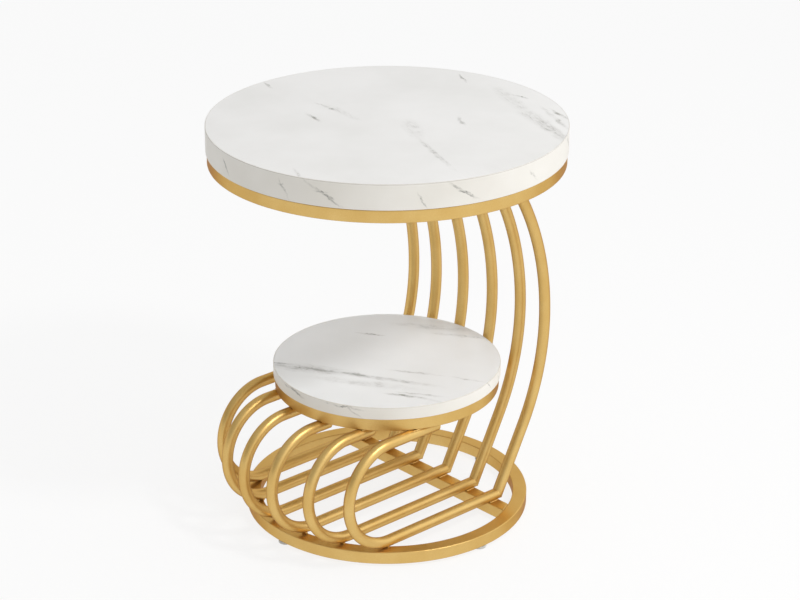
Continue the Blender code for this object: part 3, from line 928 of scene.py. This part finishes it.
@dataclass
class RodSet:
    """Six rods, numbered from the right: each is a bowed tube mitred to a curled one."""

    shelf_ring: RingBar
    tube_radius: float = 0.008
    mitre_y: float = 0.091
    run_height: float = 0.0308
    peak_y: float = 0.17948
    peak_height: float = 0.2845
    lower_radius: float = 0.3435
    end_y: float = 0.0893
    end_height: float = 0.5287
    loop_top: float = 0.1801
    front_radius: float = 0.2125
    front_shift: float = 0.0315
    sides: int = 32
    lower_steps: int = 24
    upper_steps: int = 36
    loop_steps: int = 56
    spare: float = 0.014
    end_ease: float = 0.0005
    numbers: range = range(1, 7)
    heading: float = field(init=False)
    straight: float = field(init=False)
    upper_turn: float = field(init=False)
    upper_radius: float = field(init=False)
    corner: Vector = field(init=False)
    mitre_normal: Vector = field(init=False)

    def __post_init__(self) -> None:
        """Work out the bow: straight from the mitre, upright at its peak and then leaning in."""
        to_centre = Vector((
            self.peak_y - self.lower_radius - self.mitre_y, self.peak_height - self.run_height))
        self.heading = (
            math.atan2(to_centre.y, to_centre.x) - math.asin(self.lower_radius / to_centre.length))
        self.straight = math.sqrt(to_centre.length_squared - self.lower_radius ** 2)
        rise = self.end_height - self.peak_height
        self.upper_turn = 2.0 * math.atan2(self.peak_y - self.end_y, rise)
        self.upper_radius = rise / math.sin(self.upper_turn)
        self.corner = Vector((0.0, self.mitre_y, self.run_height))
        self.mitre_normal = (heading_vector(self.heading) - heading_vector(math.pi)).normalized()

    @property
    def bend_radius(self) -> float:
        """Radius of the front bends, which lift the lower runs to the upper ones."""
        return (self.loop_top - self.run_height) / 2

    def rod_x(self, number: int) -> float:
        """X of a rod, from the middle of its CAD node."""
        low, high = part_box(f"bow_tube_{number}")
        return (low[0] + high[0]) / 2

    def loop_bend_y(self, rod_x: float) -> float:
        """Y of the centre of a rod's front bend."""
        front = -self.front_shift - math.sqrt(self.front_radius ** 2 - rod_x ** 2)
        return front + self.bend_radius

    def loop_end(self, rod_x: float) -> float:
        """Y at which a curled tube ends, under the inner edge of the shelf ring."""
        return -math.sqrt(self.shelf_ring.inner ** 2 - rod_x ** 2)

    def lower_run(self, rod_x: float, place_y: float) -> float:
        """Height of a curled tube's lower centreline, which rises into the front bend.

        Args:
            rod_x: X of the rod.
            place_y: Y on the lower run or the first half of the bend.

        Returns:
            Height of the centreline there.
        """
        radius = self.bend_radius
        past = max(self.loop_bend_y(rod_x) - place_y, 0.0)
        return self.run_height + radius - math.sqrt(radius ** 2 - past ** 2)

    def upper_run(self, place_y: float) -> float:
        """Height of a curled tube's upper centreline, which is level and so the same at any Y."""
        return self.loop_top

    def course(self, heading: float, bends: list[tuple[float, float, float, int]]) -> list[Vector]:
        """Follow a tube bender's moves from the mitre, with spare length at both ends to trim.

        Args:
            heading: Direction in which the tube leaves the mitre.
            bends: Moves of (straight length, radius, turn to the left, steps).

        Returns:
            Points of the centreline in the plane X = 0.
        """
        point = self.corner.copy()
        points = [point - heading_vector(heading) * self.spare]
        for straight, radius, turn, steps in bends:
            point = point + heading_vector(heading) * straight
            points.append(point)
            if radius > 0.0:
                side = math.copysign(QUARTER_TURN, turn)
                centre = point + heading_vector(heading + side) * radius
                for _ in range(steps):
                    heading += turn / steps
                    points.append(centre - heading_vector(heading + side) * radius)
                point = points[-1]
        points.append(point + heading_vector(heading) * self.spare)
        return points

    def bow_course(self) -> list[Vector]:
        """Follow a bowed tube.

        Returns:
            Points of the centreline in the plane X = 0.
        """
        return self.course(self.heading, [
            (self.straight, self.lower_radius, QUARTER_TURN - self.heading, self.lower_steps),
            (0.0, self.upper_radius, self.upper_turn, self.upper_steps)])

    def loop_course(self, rod_x: float) -> list[Vector]:
        """Follow a curled tube, with no spare length at its square end.

        Args:
            rod_x: X of the rod.

        Returns:
            Points of the centreline in the plane X = 0.
        """
        bend_y = self.loop_bend_y(rod_x)
        return self.course(math.pi, [
            (self.mitre_y - bend_y, self.bend_radius, -math.pi, self.loop_steps),
            (self.loop_end(rod_x) - bend_y, 0.0, 0.0, 0)])[:-1]

    def build_tube(
            self, name: str, node: str, rod_x: float, course: list[Vector],
            cuts: list[tuple[Vector, Vector]]) -> None:
        """Draw a tube along a course and cut its ends.

        Args:
            name: Name of the piece.
            node: CAD node that it stands for.
            rod_x: X of the rod.
            course: Centreline in the plane X = 0.
            cuts: Planes of (point, normal). What lies on the normal's side goes.
        """
        shop = self.shelf_ring.shop
        bm = bmesh.new()
        verts = [bm.verts.new(point + Vector((rod_x, 0.0, 0.0))) for point in course]
        for pair in zip(verts, verts[1:]):
            bm.edges.new(pair)
        piece = new_piece(name, bm)
        shop.drawn_tube.shape(piece, shop.gold, Tube_Radius=self.tube_radius, Sides=self.sides)
        bm = bmesh.new()
        bm.from_mesh(piece.data)
        bmesh.ops.remove_doubles(bm, verts=bm.verts, dist=MERGE)
        for point, normal in cuts:
            cut_away(bm, point, normal)
            bmesh.ops.holes_fill(bm, edges=[edge for edge in bm.edges if edge.is_boundary], sides=0)
        bmesh.ops.recalc_face_normals(bm, faces=bm.faces)
        bm.to_mesh(piece.data)
        bm.free()
        ease_edges(piece, self.end_ease)
        weigh_normals(piece)
        fit_to_frame(piece, shop.gold, [node])

    def build(self) -> None:
        """Make both tubes of each rod."""
        bow_cuts = [
            (self.corner, -self.mitre_normal),
            (Vector((0.0, 0.0, self.end_height)), Vector((0.0, 0.0, 1.0)))]
        loop_cuts = [(self.corner, self.mitre_normal)]
        for number in self.numbers:
            rod_x = self.rod_x(number)
            for name, node, course, cuts in (
                    ("bow_rod", "bow_tube", self.bow_course(), bow_cuts),
                    ("curl_rod", "loop_tube", self.loop_course(rod_x), loop_cuts)):
                self.build_tube(f"{name}_{number}", f"{node}_{number}", rod_x, course, cuts)


@dataclass(frozen=True)
class BeadPoint:
    """A point on the path of a weld bead, with the bead's radius there."""

    place: Vector
    size: float


@dataclass
class FrameWelds:
    """Weld beads where the rods, rings and crossbars meet.

    Sinks and stands are shares of the bead's radius. Lap beads run along both sides of a tube that
    lies on or under a flat, and wedge beads fill the thin end of such a lap.
    """

    rods: RodSet
    base_ring: RingBar
    bead_radius: float = 0.0013
    bead_step: float = 0.0005
    bead_sides: int = 10
    loop_steps: int = 48
    merge: float = 0.00001
    mitre_sink: float = 0.85
    end_stand: float = 0.2
    end_drop: float = 0.4
    overlap: float = 0.0002
    run_in: float = 0.15
    run_out: float = 0.35
    ripple_pitch: float = 0.0022
    ripple: float = 0.10
    lap_side: float = 0.0052
    lap_setback: float = 0.003
    end_setback: float = 0.001
    wedge_side: float = 0.0034
    wedge_start: float = 0.0005
    wedge_length: float = 0.004

    def mitre_path(self, rod_x: float) -> list[BeadPoint]:
        """Loop round a rod's mitred corner, dressed down until only its crown stands out.

        Args:
            rod_x: X of the rod.

        Returns:
            The path, whose last point lies on its first.
        """
        radius = self.rods.tube_radius - self.mitre_sink * self.bead_radius
        normal = self.rods.mitre_normal
        points = []
        for step in range(self.loop_steps + 1):
            angle = FULL_TURN * step / self.loop_steps
            across, up = radius * math.cos(angle), radius * math.sin(angle)
            offset = Vector((rod_x + across, -up * normal.z / normal.y, up))
            points.append(BeadPoint(self.rods.corner + offset, self.bead_radius))
        return points

    def bow_end_path(self, rod_x: float) -> list[BeadPoint]:
        """Loop round the upper end of a bowed tube, under the top crossbar.

        Args:
            rod_x: X of the rod.

        Returns:
            The path, whose last point lies on its first.
        """
        radius = self.rods.tube_radius + self.end_stand * self.bead_radius
        height = self.rods.end_height - self.end_drop * self.bead_radius
        end = Vector((rod_x, self.rods.end_y, height))
        lean = heading_vector(QUARTER_TURN + self.rods.upper_turn)
        over = heading_vector(self.rods.upper_turn)
        points = []
        for step in range(self.loop_steps + 1):
            angle = FULL_TURN * step / self.loop_steps
            across, back = radius * math.cos(angle), radius * math.sin(angle)
            offset = Vector((across, 0.0, 0.0)) + over * back
            points.append(BeadPoint(end + offset - lean * (offset.z / lean.z), self.bead_radius))
        return points

    def lap_paths(
            self, rod_x: float, side: float, reach: tuple[float, float], flat: float,
            run: Callable[[float], float]) -> list[list[BeadPoint]]:
        """Lay two beads along a tube that lies on or under a flat.

        They are as thick as the wedge that they fill, and run out at their ends.

        Args:
            rod_x: X of the rod.
            side: How far to each side of the rod the beads lie.
            reach: Y at which they start and end.
            flat: Height of the flat.
            run: Height of the tube's centreline at a given Y.

        Returns:
            The two paths.
        """
        drop = math.sqrt(self.rods.tube_radius ** 2 - side ** 2)
        fills = (
            (0.0, self.run_out), (self.run_in, 1.0), (0.5, 1.0), (1.0 - self.run_in, 1.0),
            (1.0, self.run_out))
        made = []
        for offset in (-side, side):
            points = []
            for share, fill in fills:
                place_y = reach[0] + (reach[1] - reach[0]) * share
                centre = run(place_y)
                skin = centre - math.copysign(drop, centre - flat)
                place = Vector((rod_x + offset, place_y, (skin + flat) / 2))
                points.append(BeadPoint(place, fill * (abs(skin - flat) / 2 + self.overlap)))
            made.append(points)
        return made

    def paths(self) -> list[list[BeadPoint]]:
        """Lay out all the beads on the frame.

        Returns:
            One path for each bead.
        """
        made = []
        bar_low, bar_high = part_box("base_crossbar")
        floor_flat, shelf_ring = self.base_ring.top, self.rods.shelf_ring
        for number in self.rods.numbers:
            rod_x = self.rods.rod_x(number)
            lower_run = partial(self.rods.lower_run, rod_x)
            wall = -math.sqrt(self.base_ring.inner ** 2 - rod_x ** 2)
            outer = -math.sqrt(shelf_ring.outer ** 2 - rod_x ** 2)
            on_bar = (bar_low[1] + self.end_setback, bar_high[1] - self.lap_setback)
            on_ring = (wall - self.wedge_start, wall - self.wedge_length)
            on_shelf = (outer + self.lap_setback, self.rods.loop_end(rod_x) - self.end_setback)
            made.append(self.mitre_path(rod_x))
            made.append(self.bow_end_path(rod_x))
            made += self.lap_paths(rod_x, self.lap_side, on_bar, floor_flat, lower_run)
            made += self.lap_paths(rod_x, self.wedge_side, on_ring, floor_flat, lower_run)
            made += self.lap_paths(
                rod_x, self.lap_side, on_shelf, shelf_ring.base, self.rods.upper_run)
        return made

    def build(self) -> None:
        """Lay all the beads as one piece."""
        shop = self.base_ring.shop
        bm = bmesh.new()
        sizes = bm.verts.layers.float.new(BEAD_SIZE)
        for path in self.paths():
            verts = []
            for point in path:
                vert = bm.verts.new(point.place)
                vert[sizes] = point.size
                verts.append(vert)
            for pair in zip(verts, verts[1:]):
                bm.edges.new(pair)
        bmesh.ops.remove_doubles(bm, verts=bm.verts, dist=self.merge)
        piece = new_piece("frame_welds", bm)
        shop.weld_bead.shape(
            piece, shop.gold, Step=self.bead_step, Ripple_Pitch=self.ripple_pitch,
            Ripple=self.ripple, Sides=self.bead_sides)
        fit_to_frame(piece, shop.gold)


@dataclass
class Panel:
    """A fibreboard panel, with its printed face sheet and edge band.

    An eased edge has one point between its flats, which lies in by a share of the easing.
    """

    tier: Tier
    face: PrintedMarble
    edge: PrintedMarble
    band: float = 0.001
    seam: float = 0.00005
    segments: int = 240
    band_ease: float = 0.0006
    sheet_ease: float = 0.0001
    ease_share: float = 0.29

    def build_face(self) -> None:
        """Press the face sheet: a thin disc with an eased rim, a hairline seam from the band."""
        node = f"{self.tier.value}_face_sheet"
        low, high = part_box(node)
        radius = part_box(f"{self.tier.value}_edge_band")[1][0] - self.band - self.seam
        ease = self.sheet_ease
        soft = ease * self.ease_share
        profile = [
            (0.0, high[2]), (radius - ease, high[2]), (radius - soft, high[2] - soft),
            (radius, high[2] - ease), (radius, low[2]), (0.0, low[2])]
        piece = new_piece(
            f"{self.tier.value}_face", spin_profile(profile, self.segments, closed=False))
        weigh_normals(piece)
        fit_to_frame(piece, self.face.material(), [node])

    def build_edge(self) -> None:
        """Bend the edge band round the board, and lay its print along the rim."""
        node = f"{self.tier.value}_edge_band"
        low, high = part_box(node)
        outer, ease = high[0], self.band_ease
        inner = outer - self.band
        soft = ease * self.ease_share
        profile = [
            (inner, high[2]), (outer - ease, high[2]), (outer - soft, high[2] - soft),
            (outer, high[2] - ease), (outer, low[2] + ease), (outer - soft, low[2] + soft),
            (outer - ease, low[2]), (inner, low[2])]
        bm = spin_profile(profile, self.segments, closed=True)
        layer = bm.loops.layers.uv.new(RIM_MAP)
        for side in bm.faces:
            middle = side.calc_center_median()
            around = math.atan2(middle.y, middle.x)
            for loop in side.loops:
                place = loop.vert.co
                offset = math.atan2(place.y, place.x) - around
                offset -= FULL_TURN * round(offset / FULL_TURN)
                loop[layer].uv = ((around + offset) * outer, place.z - low[2])
        piece = new_piece(f"{self.tier.value}_edge", bm)
        weigh_normals(piece)
        fit_to_frame(piece, self.edge.material(), [node])


@dataclass
class PanelFixings:
    """Lugs inside a ring, and the socket screws that hold the panel down on it."""

    tier: Tier
    ring: RingBar
    count: int = 4
    first_angle: float = math.radians(45.0)
    lug_width: float = 0.024
    lug_length: float = 0.026
    lug_thickness: float = 0.003
    lug_round: float = 0.010
    lug_steps: int = 8
    lug_ease: float = 0.0004
    hole_setback: float = 0.014
    hole_radius: float = 0.0033
    hole_sides: int = 24
    head_radius: float = 0.00575
    head_height: float = 0.0035
    crown_share: float = 0.75
    crown_step: float = math.radians(10.0)
    crown_points: int = 7
    shank_radius: float = 0.003
    tip_chamfer: float = 0.0006
    screw_sides: int = 40
    screw_crease: float = math.radians(30.0)
    socket_width: float = 0.004
    socket_depth: float = 0.0022
    socket_sides: int = 6

    @property
    def screw_line(self) -> float:
        """Distance of the screws from the middle of the ring."""
        return self.ring.inner - self.hole_setback

    def nodes(self, kind: str) -> list[str]:
        """Names of the CAD nodes of one kind of fixing."""
        return [f"{self.tier.value}_{kind}_{number}" for number in range(1, self.count + 1)]

    def lug_outline(self) -> list[tuple[float, float]]:
        """Draw a lug at angle zero, with a round inner end.

        Returns:
            Points of (X, Y) round the lug.
        """
        half, radius = self.lug_width / 2, self.lug_round
        outer = math.sqrt(self.ring.inner ** 2 - half ** 2)
        middle = outer - self.lug_length + radius
        points = [(outer, -half), (outer, half)]
        for start, side in ((QUARTER_TURN, 1.0), (math.pi, -1.0)):
            for step in range(self.lug_steps + 1):
                angle = start + QUARTER_TURN * step / self.lug_steps
                across = side * (half - radius) + radius * math.sin(angle)
                points.append((middle + radius * math.cos(angle), across))
        return points

    def build_lugs(self) -> None:
        """Punch one lug, ease its edges and repeat it round the ring."""
        top, shop = self.ring.top, self.ring.shop
        bm = bmesh.new()
        bm.faces.new([bm.verts.new((x, y, top)) for x, y in self.lug_outline()])
        raise_faces(bm, -self.lug_thickness)
        piece = new_piece(f"{self.tier.value}_lug_set", bm)
        self.cut(
            piece, self.hole_radius, self.hole_sides, top - self.lug_thickness / 2,
            4 * self.lug_thickness)
        ease_edges(piece, self.lug_ease, segments=2)
        shop.copies.shape(piece, shop.gold, Count=self.count, First_Angle=self.first_angle)
        weigh_normals(piece)
        fit_to_frame(piece, shop.gold, self.nodes("lug"))

    def cut(self, piece: Object, radius: float, sides: int, middle: float, depth: float) -> None:
        """Cut an upright hole into a fixing at angle zero.

        Args:
            piece: The fixing.
            radius: Radius of the hole to its corners.
            sides: Sides of the hole.
            middle: Height of the cut's middle.
            depth: Depth of the cut.
        """
        bm = bmesh.new()
        bmesh.ops.create_cone(
            bm, cap_ends=True, segments=sides, radius1=radius, radius2=radius, depth=depth,
            matrix=Matrix.Translation((self.screw_line, 0.0, middle)))
        cutter = new_piece("cutter", bm)
        modifier = piece.modifiers.new("hole", "BOOLEAN")
        modifier.object = cutter
        modifier.operation = "DIFFERENCE"
        modifier.solver = "EXACT"
        bake(piece)
        bpy.data.meshes.remove(cutter.data)

    def build_screws(self, steel: Material) -> None:
        """Head one socket screw and repeat it round the ring.

        Args:
            steel: Finish of the screws.
        """
        low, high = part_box(self.nodes("screw")[0])
        head_base, tip = low[2], high[2]
        head_top = head_base + self.head_height
        dome = self.head_height * self.crown_share
        crown = [
            (self.head_radius * math.cos(angle), head_base + dome * (1.0 - math.sin(angle)))
            for angle in (step * self.crown_step for step in range(self.crown_points))]
        crown_base = crown[-1][1]
        profile = [
            (0.0, tip), (self.shank_radius - self.tip_chamfer, tip),
            (self.shank_radius, tip - self.tip_chamfer), (self.shank_radius, head_top),
            (self.head_radius, head_top), *crown, (0.0, crown_base)]
        bm = spin_profile(profile, self.screw_sides, closed=False)
        bmesh.ops.translate(bm, verts=bm.verts, vec=(self.screw_line, 0.0, 0.0))
        piece = new_piece(f"{self.tier.value}_screw_set", bm)
        socket_radius = self.socket_width / math.sqrt(3.0)
        self.cut(piece, socket_radius, self.socket_sides, crown_base, 2 * self.socket_depth)
        self.ring.shop.copies.shape(piece, steel, Count=self.count, First_Angle=self.first_angle)
        piece.data.set_sharp_from_angle(angle=self.screw_crease)
        fit_to_frame(piece, steel, self.nodes("screw"))


@dataclass
class Glides:
    """Moulded glides under the base ring: a pad with a rounded rim on a stem."""

    names: tuple[str, ...] = ("right", "back", "left", "front")
    rim: float = 0.0012
    rim_steps: int = 5
    chamfer: float = 0.0004
    ring_gap: float = 0.0003
    stem_radius: float = 0.004
    sides: int = 48
    crease: float = math.radians(35.0)

    def build(self, copies: NodeShape, plastic: Material) -> None:
        """Mould one glide and repeat it round the base ring.

        Args:
            copies: Tree that repeats a piece round the axis.
            plastic: Finish of the glides.
        """
        nodes = [f"foot_{name}" for name in self.names]
        low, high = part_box(f"foot_{self.names[0]}")
        pad_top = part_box("base_ring")[0][2] - self.ring_gap
        pad, middle = (high[0] - low[0]) / 2, (high[0] + low[0]) / 2
        angles = [QUARTER_TURN * step / self.rim_steps for step in range(self.rim_steps + 1)]
        rounding = [
            (pad - self.rim + self.rim * math.cos(angle), self.rim - self.rim * math.sin(angle))
            for angle in angles]
        profile = [
            (0.0, high[2]), (self.stem_radius, high[2]), (self.stem_radius, pad_top),
            (pad - self.chamfer, pad_top), (pad, pad_top - self.chamfer), *rounding, (0.0, 0.0)]
        bm = spin_profile(profile, self.sides, closed=False)
        bmesh.ops.translate(bm, verts=bm.verts, vec=(middle, 0.0, 0.0))
        piece = new_piece("glide_set", bm)
        copies.shape(piece, plastic, Count=len(self.names), First_Angle=0.0)
        piece.data.set_sharp_from_angle(angle=self.crease)
        fit_to_frame(piece, plastic, nodes)


def dress_nodes(names: Iterable[str], material: Material) -> None:
    """Give CAD nodes that stay as they are a finish.

    Args:
        names: Names of the nodes.
        material: Their finish.
    """
    for name in names:
        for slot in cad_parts[name].material_slots:
            slot.material = material
        log.info("%s: carried over in %s", name, material.name)


@dataclass
class Studio:
    """A white floor, a soft lamp from the right, a room that is brighter there, and the camera.

    Levels of the room are strengths of its white. The walls grade from left to right between two
    shares of the way, and the overhead and horizon bands between two heights of the view.
    """

    floor_half: float = 20.0
    floor_colour: str = "#FCFCFC"
    floor_glow: float = 0.82
    floor_roughness: float = 0.9
    key_place: Point = (2.0, 0.4, 2.5)
    key_aim: Point = (0.0, 0.0, 0.3)
    key_size: float = 0.45
    key_power: float = 28.0
    right: Point = (0.450, 0.893, 0.0)
    wall_span: tuple[float, float] = (-0.8, 0.6)
    overhead_span: tuple[float, float] = (0.25, 0.85)
    horizon_span: tuple[float, float] = (0.13, 0.30)
    left_level: float = 0.28
    right_level: float = 1.4
    zenith_level: float = 0.60
    camera_place: Point = (2.3686, -2.1564, 1.6776)
    camera_aim: Point = (-0.6818, 0.6182, -0.3913)
    lens: float = 110.76
    sensor: float = 36.0
    shift: tuple[float, float] = (0.0220, 0.0006)

    def build_floor(self) -> None:
        """Lay the floor, mostly plain white to the eye and in reflections, with soft shadows."""
        bm = bmesh.new()
        bmesh.ops.create_grid(bm, x_segments=2, y_segments=2, size=self.floor_half)
        floor = new_piece("floor", bm)
        material, tree, shader = new_material("white_painted_floor")
        fill_sockets(shader, {
            "Base Color": linear(self.floor_colour), "Roughness": self.floor_roughness,
            "Specular IOR Level": 0.0})
        rays = add_node(tree, "ShaderNodeLightPath").outputs
        shown = add_node(tree, "ShaderNodeMath", [
            rays["Is Camera Ray"], rays["Is Glossy Ray"]], operation="ADD")
        through = add_node(tree, "ShaderNodeMath", [
            shown, rays["Is Transmission Ray"]], operation="ADD", use_clamp=True)
        share = add_node(tree, "ShaderNodeMath", [through, self.floor_glow], operation="MULTIPLY")
        white = add_node(tree, "ShaderNodeEmission", {"Strength": 1.0})
        mixed = add_node(tree, "ShaderNodeMixShader", [share, shader, white])
        fill_sockets(tree.nodes["Material Output"], {"Surface": mixed})
        floor.data.materials.append(material)

    def build_world(self) -> None:
        """Light the room: white at the horizon, bright to the right, grey left and overhead."""
        world = bpy.data.worlds.new("studio")
        bpy.context.scene.world = world
        world.use_nodes = True
        tree = world.node_tree
        way = add_node(tree, "ShaderNodeTexCoord").outputs["Generated"]
        height = add_node(tree, "ShaderNodeSeparateXYZ", {"Vector": way}).outputs["Z"]
        side = add_node(tree, "ShaderNodeVectorMath", [
            way, self.right], operation="DOT_PRODUCT").outputs["Value"]
        walls, overhead, above_horizon = [
            add_node(tree, "ShaderNodeMapRange", {
                "Value": value, "From Min": span[0], "From Max": span[1], "To Min": levels[0],
                "To Max": levels[1]}, interpolation_type="SMOOTHSTEP")
            for value, span, levels in (
                (side, self.wall_span, (self.left_level, self.right_level)),
                (height, self.overhead_span, (0.0, 1.0)),
                (height, self.horizon_span, (0.0, 1.0)))]
        above = add_node(tree, "ShaderNodeMix", {
            FACTOR: overhead, FLOAT_A: walls, FLOAT_B: self.zenith_level})
        level = add_node(tree, "ShaderNodeMix", {
            FACTOR: above_horizon, FLOAT_A: 1.0, FLOAT_B: above})
        fill_sockets(tree.nodes["Background"], {"Color": (1.0, 1.0, 1.0, 1.0), "Strength": level})

    def hang(self, name: str, data: bpy.types.ID, place: Vector, way: Vector) -> Object:
        """Put up the lamp or the camera.

        Args:
            name: Name of the object.
            data: The lamp's or camera's data.
            place: Where it hangs.
            way: Direction in which it points.

        Returns:
            The object, linked into the scene.
        """
        hung = bpy.data.objects.new(name, data)
        bpy.context.scene.collection.objects.link(hung)
        hung.location = place
        hung.rotation_mode = "QUATERNION"
        hung.rotation_quaternion = way.to_track_quat("-Z", "Y")
        return hung

    def build_key(self) -> None:
        """Hang the key lamp."""
        light = bpy.data.lights.new("key", "AREA")
        light.shape = "DISK"
        light.size = self.key_size
        light.energy = self.key_power
        place = Vector(self.key_place)
        self.hang("key", light, place, Vector(self.key_aim) - place)

    def build_camera(self) -> None:
        """Set up the camera at the photograph's angle."""
        data = bpy.data.cameras.new("camera")
        data.lens = self.lens
        data.sensor_width = self.sensor
        data.shift_x, data.shift_y = self.shift
        bpy.context.scene.camera = self.hang(
            "camera", data, Vector(self.camera_place), Vector(self.camera_aim))

    def build(self) -> None:
        """Set up the whole studio."""
        bpy.context.scene.view_settings.view_transform = "Standard"
        self.build_floor()
        self.build_world()
        self.build_key()
        self.build_camera()


@dataclass(frozen=True)
class RimVeins:
    """Veins along a rim, in millimetres: some placed one by one, and strewn ones on the rest.

    The strewn veins lie between two shares of the circumference, counted from the left end of the
    rim's map. Their middles, lengths and widths are ranges of shares of the rim's height.
    """

    placed: tuple[Vein, ...]
    circumference: float
    height: float
    strewn_from: float
    strewn_to: float
    seed: int
    count: int = 8
    jitter: tuple[float, float] = (0.1, 0.9)
    middles: tuple[float, float] = (0.3, 0.8)
    lengths: tuple[float, float] = (0.8, 2.4)
    widths: tuple[float, float] = (0.1, 0.2)
    turns: tuple[float, float] = (-65.0, -25.0)
    depths: tuple[float, float] = (0.7, 1.5)

    def veins(self) -> tuple[Vein, ...]:
        """Strew the short slanting veins among the placed ones.

        Returns:
            All the veins of the rim.
        """
        dice = random.Random(self.seed)
        span = self.strewn_to - self.strewn_from
        veins = list(self.placed)
        for index in range(self.count):
            share = self.strewn_from + span * (index + dice.uniform(*self.jitter)) / self.count
            veins.append(Vein(
                (share - 0.5) * self.circumference, self.height * dice.uniform(*self.middles),
                self.height * dice.uniform(*self.lengths), self.height * dice.uniform(*self.widths),
                dice.uniform(*self.turns), dice.uniform(*self.depths)))
        return tuple(veins)


# Each vein is along, across, length, width, turn and depth. A face's veins go by X and Y, and a
# band's by the way round the rim from its right side and the height above its lower edge.
TOP_FACE = PrintedMarble(
    "pressed_melamine_top_face", "#EFEEEC", "#E6E5E2", "#96938B",
    (
        Vein(48, 4, 110, 34, -33, 0.45), Vein(142, -42, 170, 12, -22, 0.9),
        Vein(40, 196, 150, 30, -23, 0.45), Vein(124, 160, 150, 36, -19, 0.6),
        Vein(184, 138, 130, 26, -21, 0.8), Vein(150, 178, 150, 12, -24, 0.8),
        Vein(47, 211, 44, 7, 2, 1.5), Vein(139, 196, 70, 8, -15, 1.2),
        Vein(-69, 210, 56, 7, -29, 1.3), Vein(68, 76, 54, 8, -31, 1.1),
        Vein(-100, -21, 64, 8, -2, 1.4), Vein(-70, -20, 110, 18, -8, 0.35),
        Vein(-80, -65, 56, 9, -15, 1.4), Vein(-232, -20, 40, 7, -19, 1.4),
        Vein(77, -226, 54, 8, -27, 1.0)),
    grain_turn=-22.0)
# Painted light: the shelf's print is whiter and cooler than the top's, to make up for the shade that
# the top casts on it and for the warm light that the gold throws onto it.
LIGHTENED_SHELF_FACE = PrintedMarble(
    "pressed_melamine_shelf_face_lightened", "#F6F8FA", "#EDEFF0", "#807F79",
    (
        Vein(-50, -104, 190, 34, 33, 0.8), Vein(-100, -128, 90, 9, 33, 1.3),
        Vein(-20, -86, 190, 10, 32, 0.9), Vein(50, -46, 200, 16, 30, 0.75),
        Vein(40, -78, 210, 26, 32, 0.55), Vein(101, -68, 60, 9, 33, 1.6),
        Vein(118, -46, 90, 9, 34, 0.9), Vein(62, -1, 110, 8, 32, 0.8),
        Vein(128, 38, 70, 8, 28, 0.7), Vein(-81, 42, 56, 7, 32, 1.4),
        Vein(-40, 126, 150, 26, 35, 0.55), Vein(11, 135, 120, 14, 34, 0.7),
        Vein(136, -49, 90, 8, 22, 0.8)),
    grain_turn=32.0)
# Both edge bands are printed darker and warmer than the faces. This is partly the edge laminate's own
# colour and partly painted shade, standing in for the dimmer light on the upright rims.
TOP_EDGE = PrintedMarble(
    "pressed_melamine_top_edge", "#E9E6DF", "#DEDAD1", "#7F7E78",
    RimVeins(
        (
            Vein(-441, 16, 40, 5, -50, 1.3), Vein(-326, 14, 44, 4, -62, 1.2),
            Vein(-330, 21, 12, 5, 0, 1.3), Vein(-270, 19, 84, 6, -32, 1.4),
            Vein(-272, 20, 26, 4, 0, 1.5), Vein(-262, 15, 22, 4, -14, 1.3),
            Vein(-139, 12, 36, 4, -61, 1.1), Vein(-82, 20, 72, 5, -32, 1.4),
            Vein(-84, 20, 22, 4, -12, 1.3), Vein(36, 15, 36, 4, -45, 0.55)),
        circumference=1571.0, height=36.0, strewn_from=0.58, strewn_to=1.0, seed=11).veins(),
    grain_turn=-36.0, rim_height=0.036)
SHELF_EDGE = PrintedMarble(
    "pressed_melamine_shelf_edge", "#EDEAE3", "#E3DFD6", "#585751",
    RimVeins(
        (
            Vein(-272, 14, 60, 6, -6, 1.4), Vein(-182, 15, 80, 4, -3, 1.1),
            Vein(-166, 8, 34, 4, -28, 1.2)),
        circumference=1021.0, height=18.0, strewn_from=0.50, strewn_to=1.0, seed=23).veins(),
    grain_turn=-14.0, rim_height=0.018, core="#CFCBC2")


def main() -> None:
    """Build the table's dressed pieces and the studio round it."""
    logging.basicConfig(level=logging.INFO, format="%(name)s: %(message)s")
    shop = Workshop(
        LacqueredSteel().material(), rolled_bar_shape(), drawn_tube_shape(), weld_bead_shape(),
        copies_round_axis_shape())

    rings = [RingBar(name, shop) for name in ("top_ring", "shelf_ring", "base_ring")]
    for ring in rings:
        ring.build_ring()
    top_ring, shelf_ring, base_ring = rings
    top_ring.build_crossbar("top_crossbar")
    base_ring.build_crossbar("base_crossbar")

    rods = RodSet(shelf_ring)
    rods.build()
    FrameWelds(rods, base_ring).build()

    for panel in (
            Panel(Tier.TOP, TOP_FACE, TOP_EDGE), Panel(Tier.SHELF, LIGHTENED_SHELF_FACE, SHELF_EDGE)):
        panel.build_face()
        panel.build_edge()
    dress_nodes(("top_board", "shelf_board"), BackedBoard().material())

    steel = PlainMetal("zinc_plated_steel", "#D6D6D3", "#B4B5B4", (0.30, 0.42)).material()
    brass = PlainMetal("turned_brass", "#D9C08A", "#BFA264", (0.28, 0.40)).material()
    for fixings in (PanelFixings(Tier.TOP, top_ring), PanelFixings(Tier.SHELF, shelf_ring)):
        fixings.build_lugs()
        fixings.build_screws(steel)
        dress_nodes(fixings.nodes("insert"), brass)

    Glides().build(shop.copies, GlidePlastic().material())
    Studio().build()


if __name__ == "__main__":
    main()
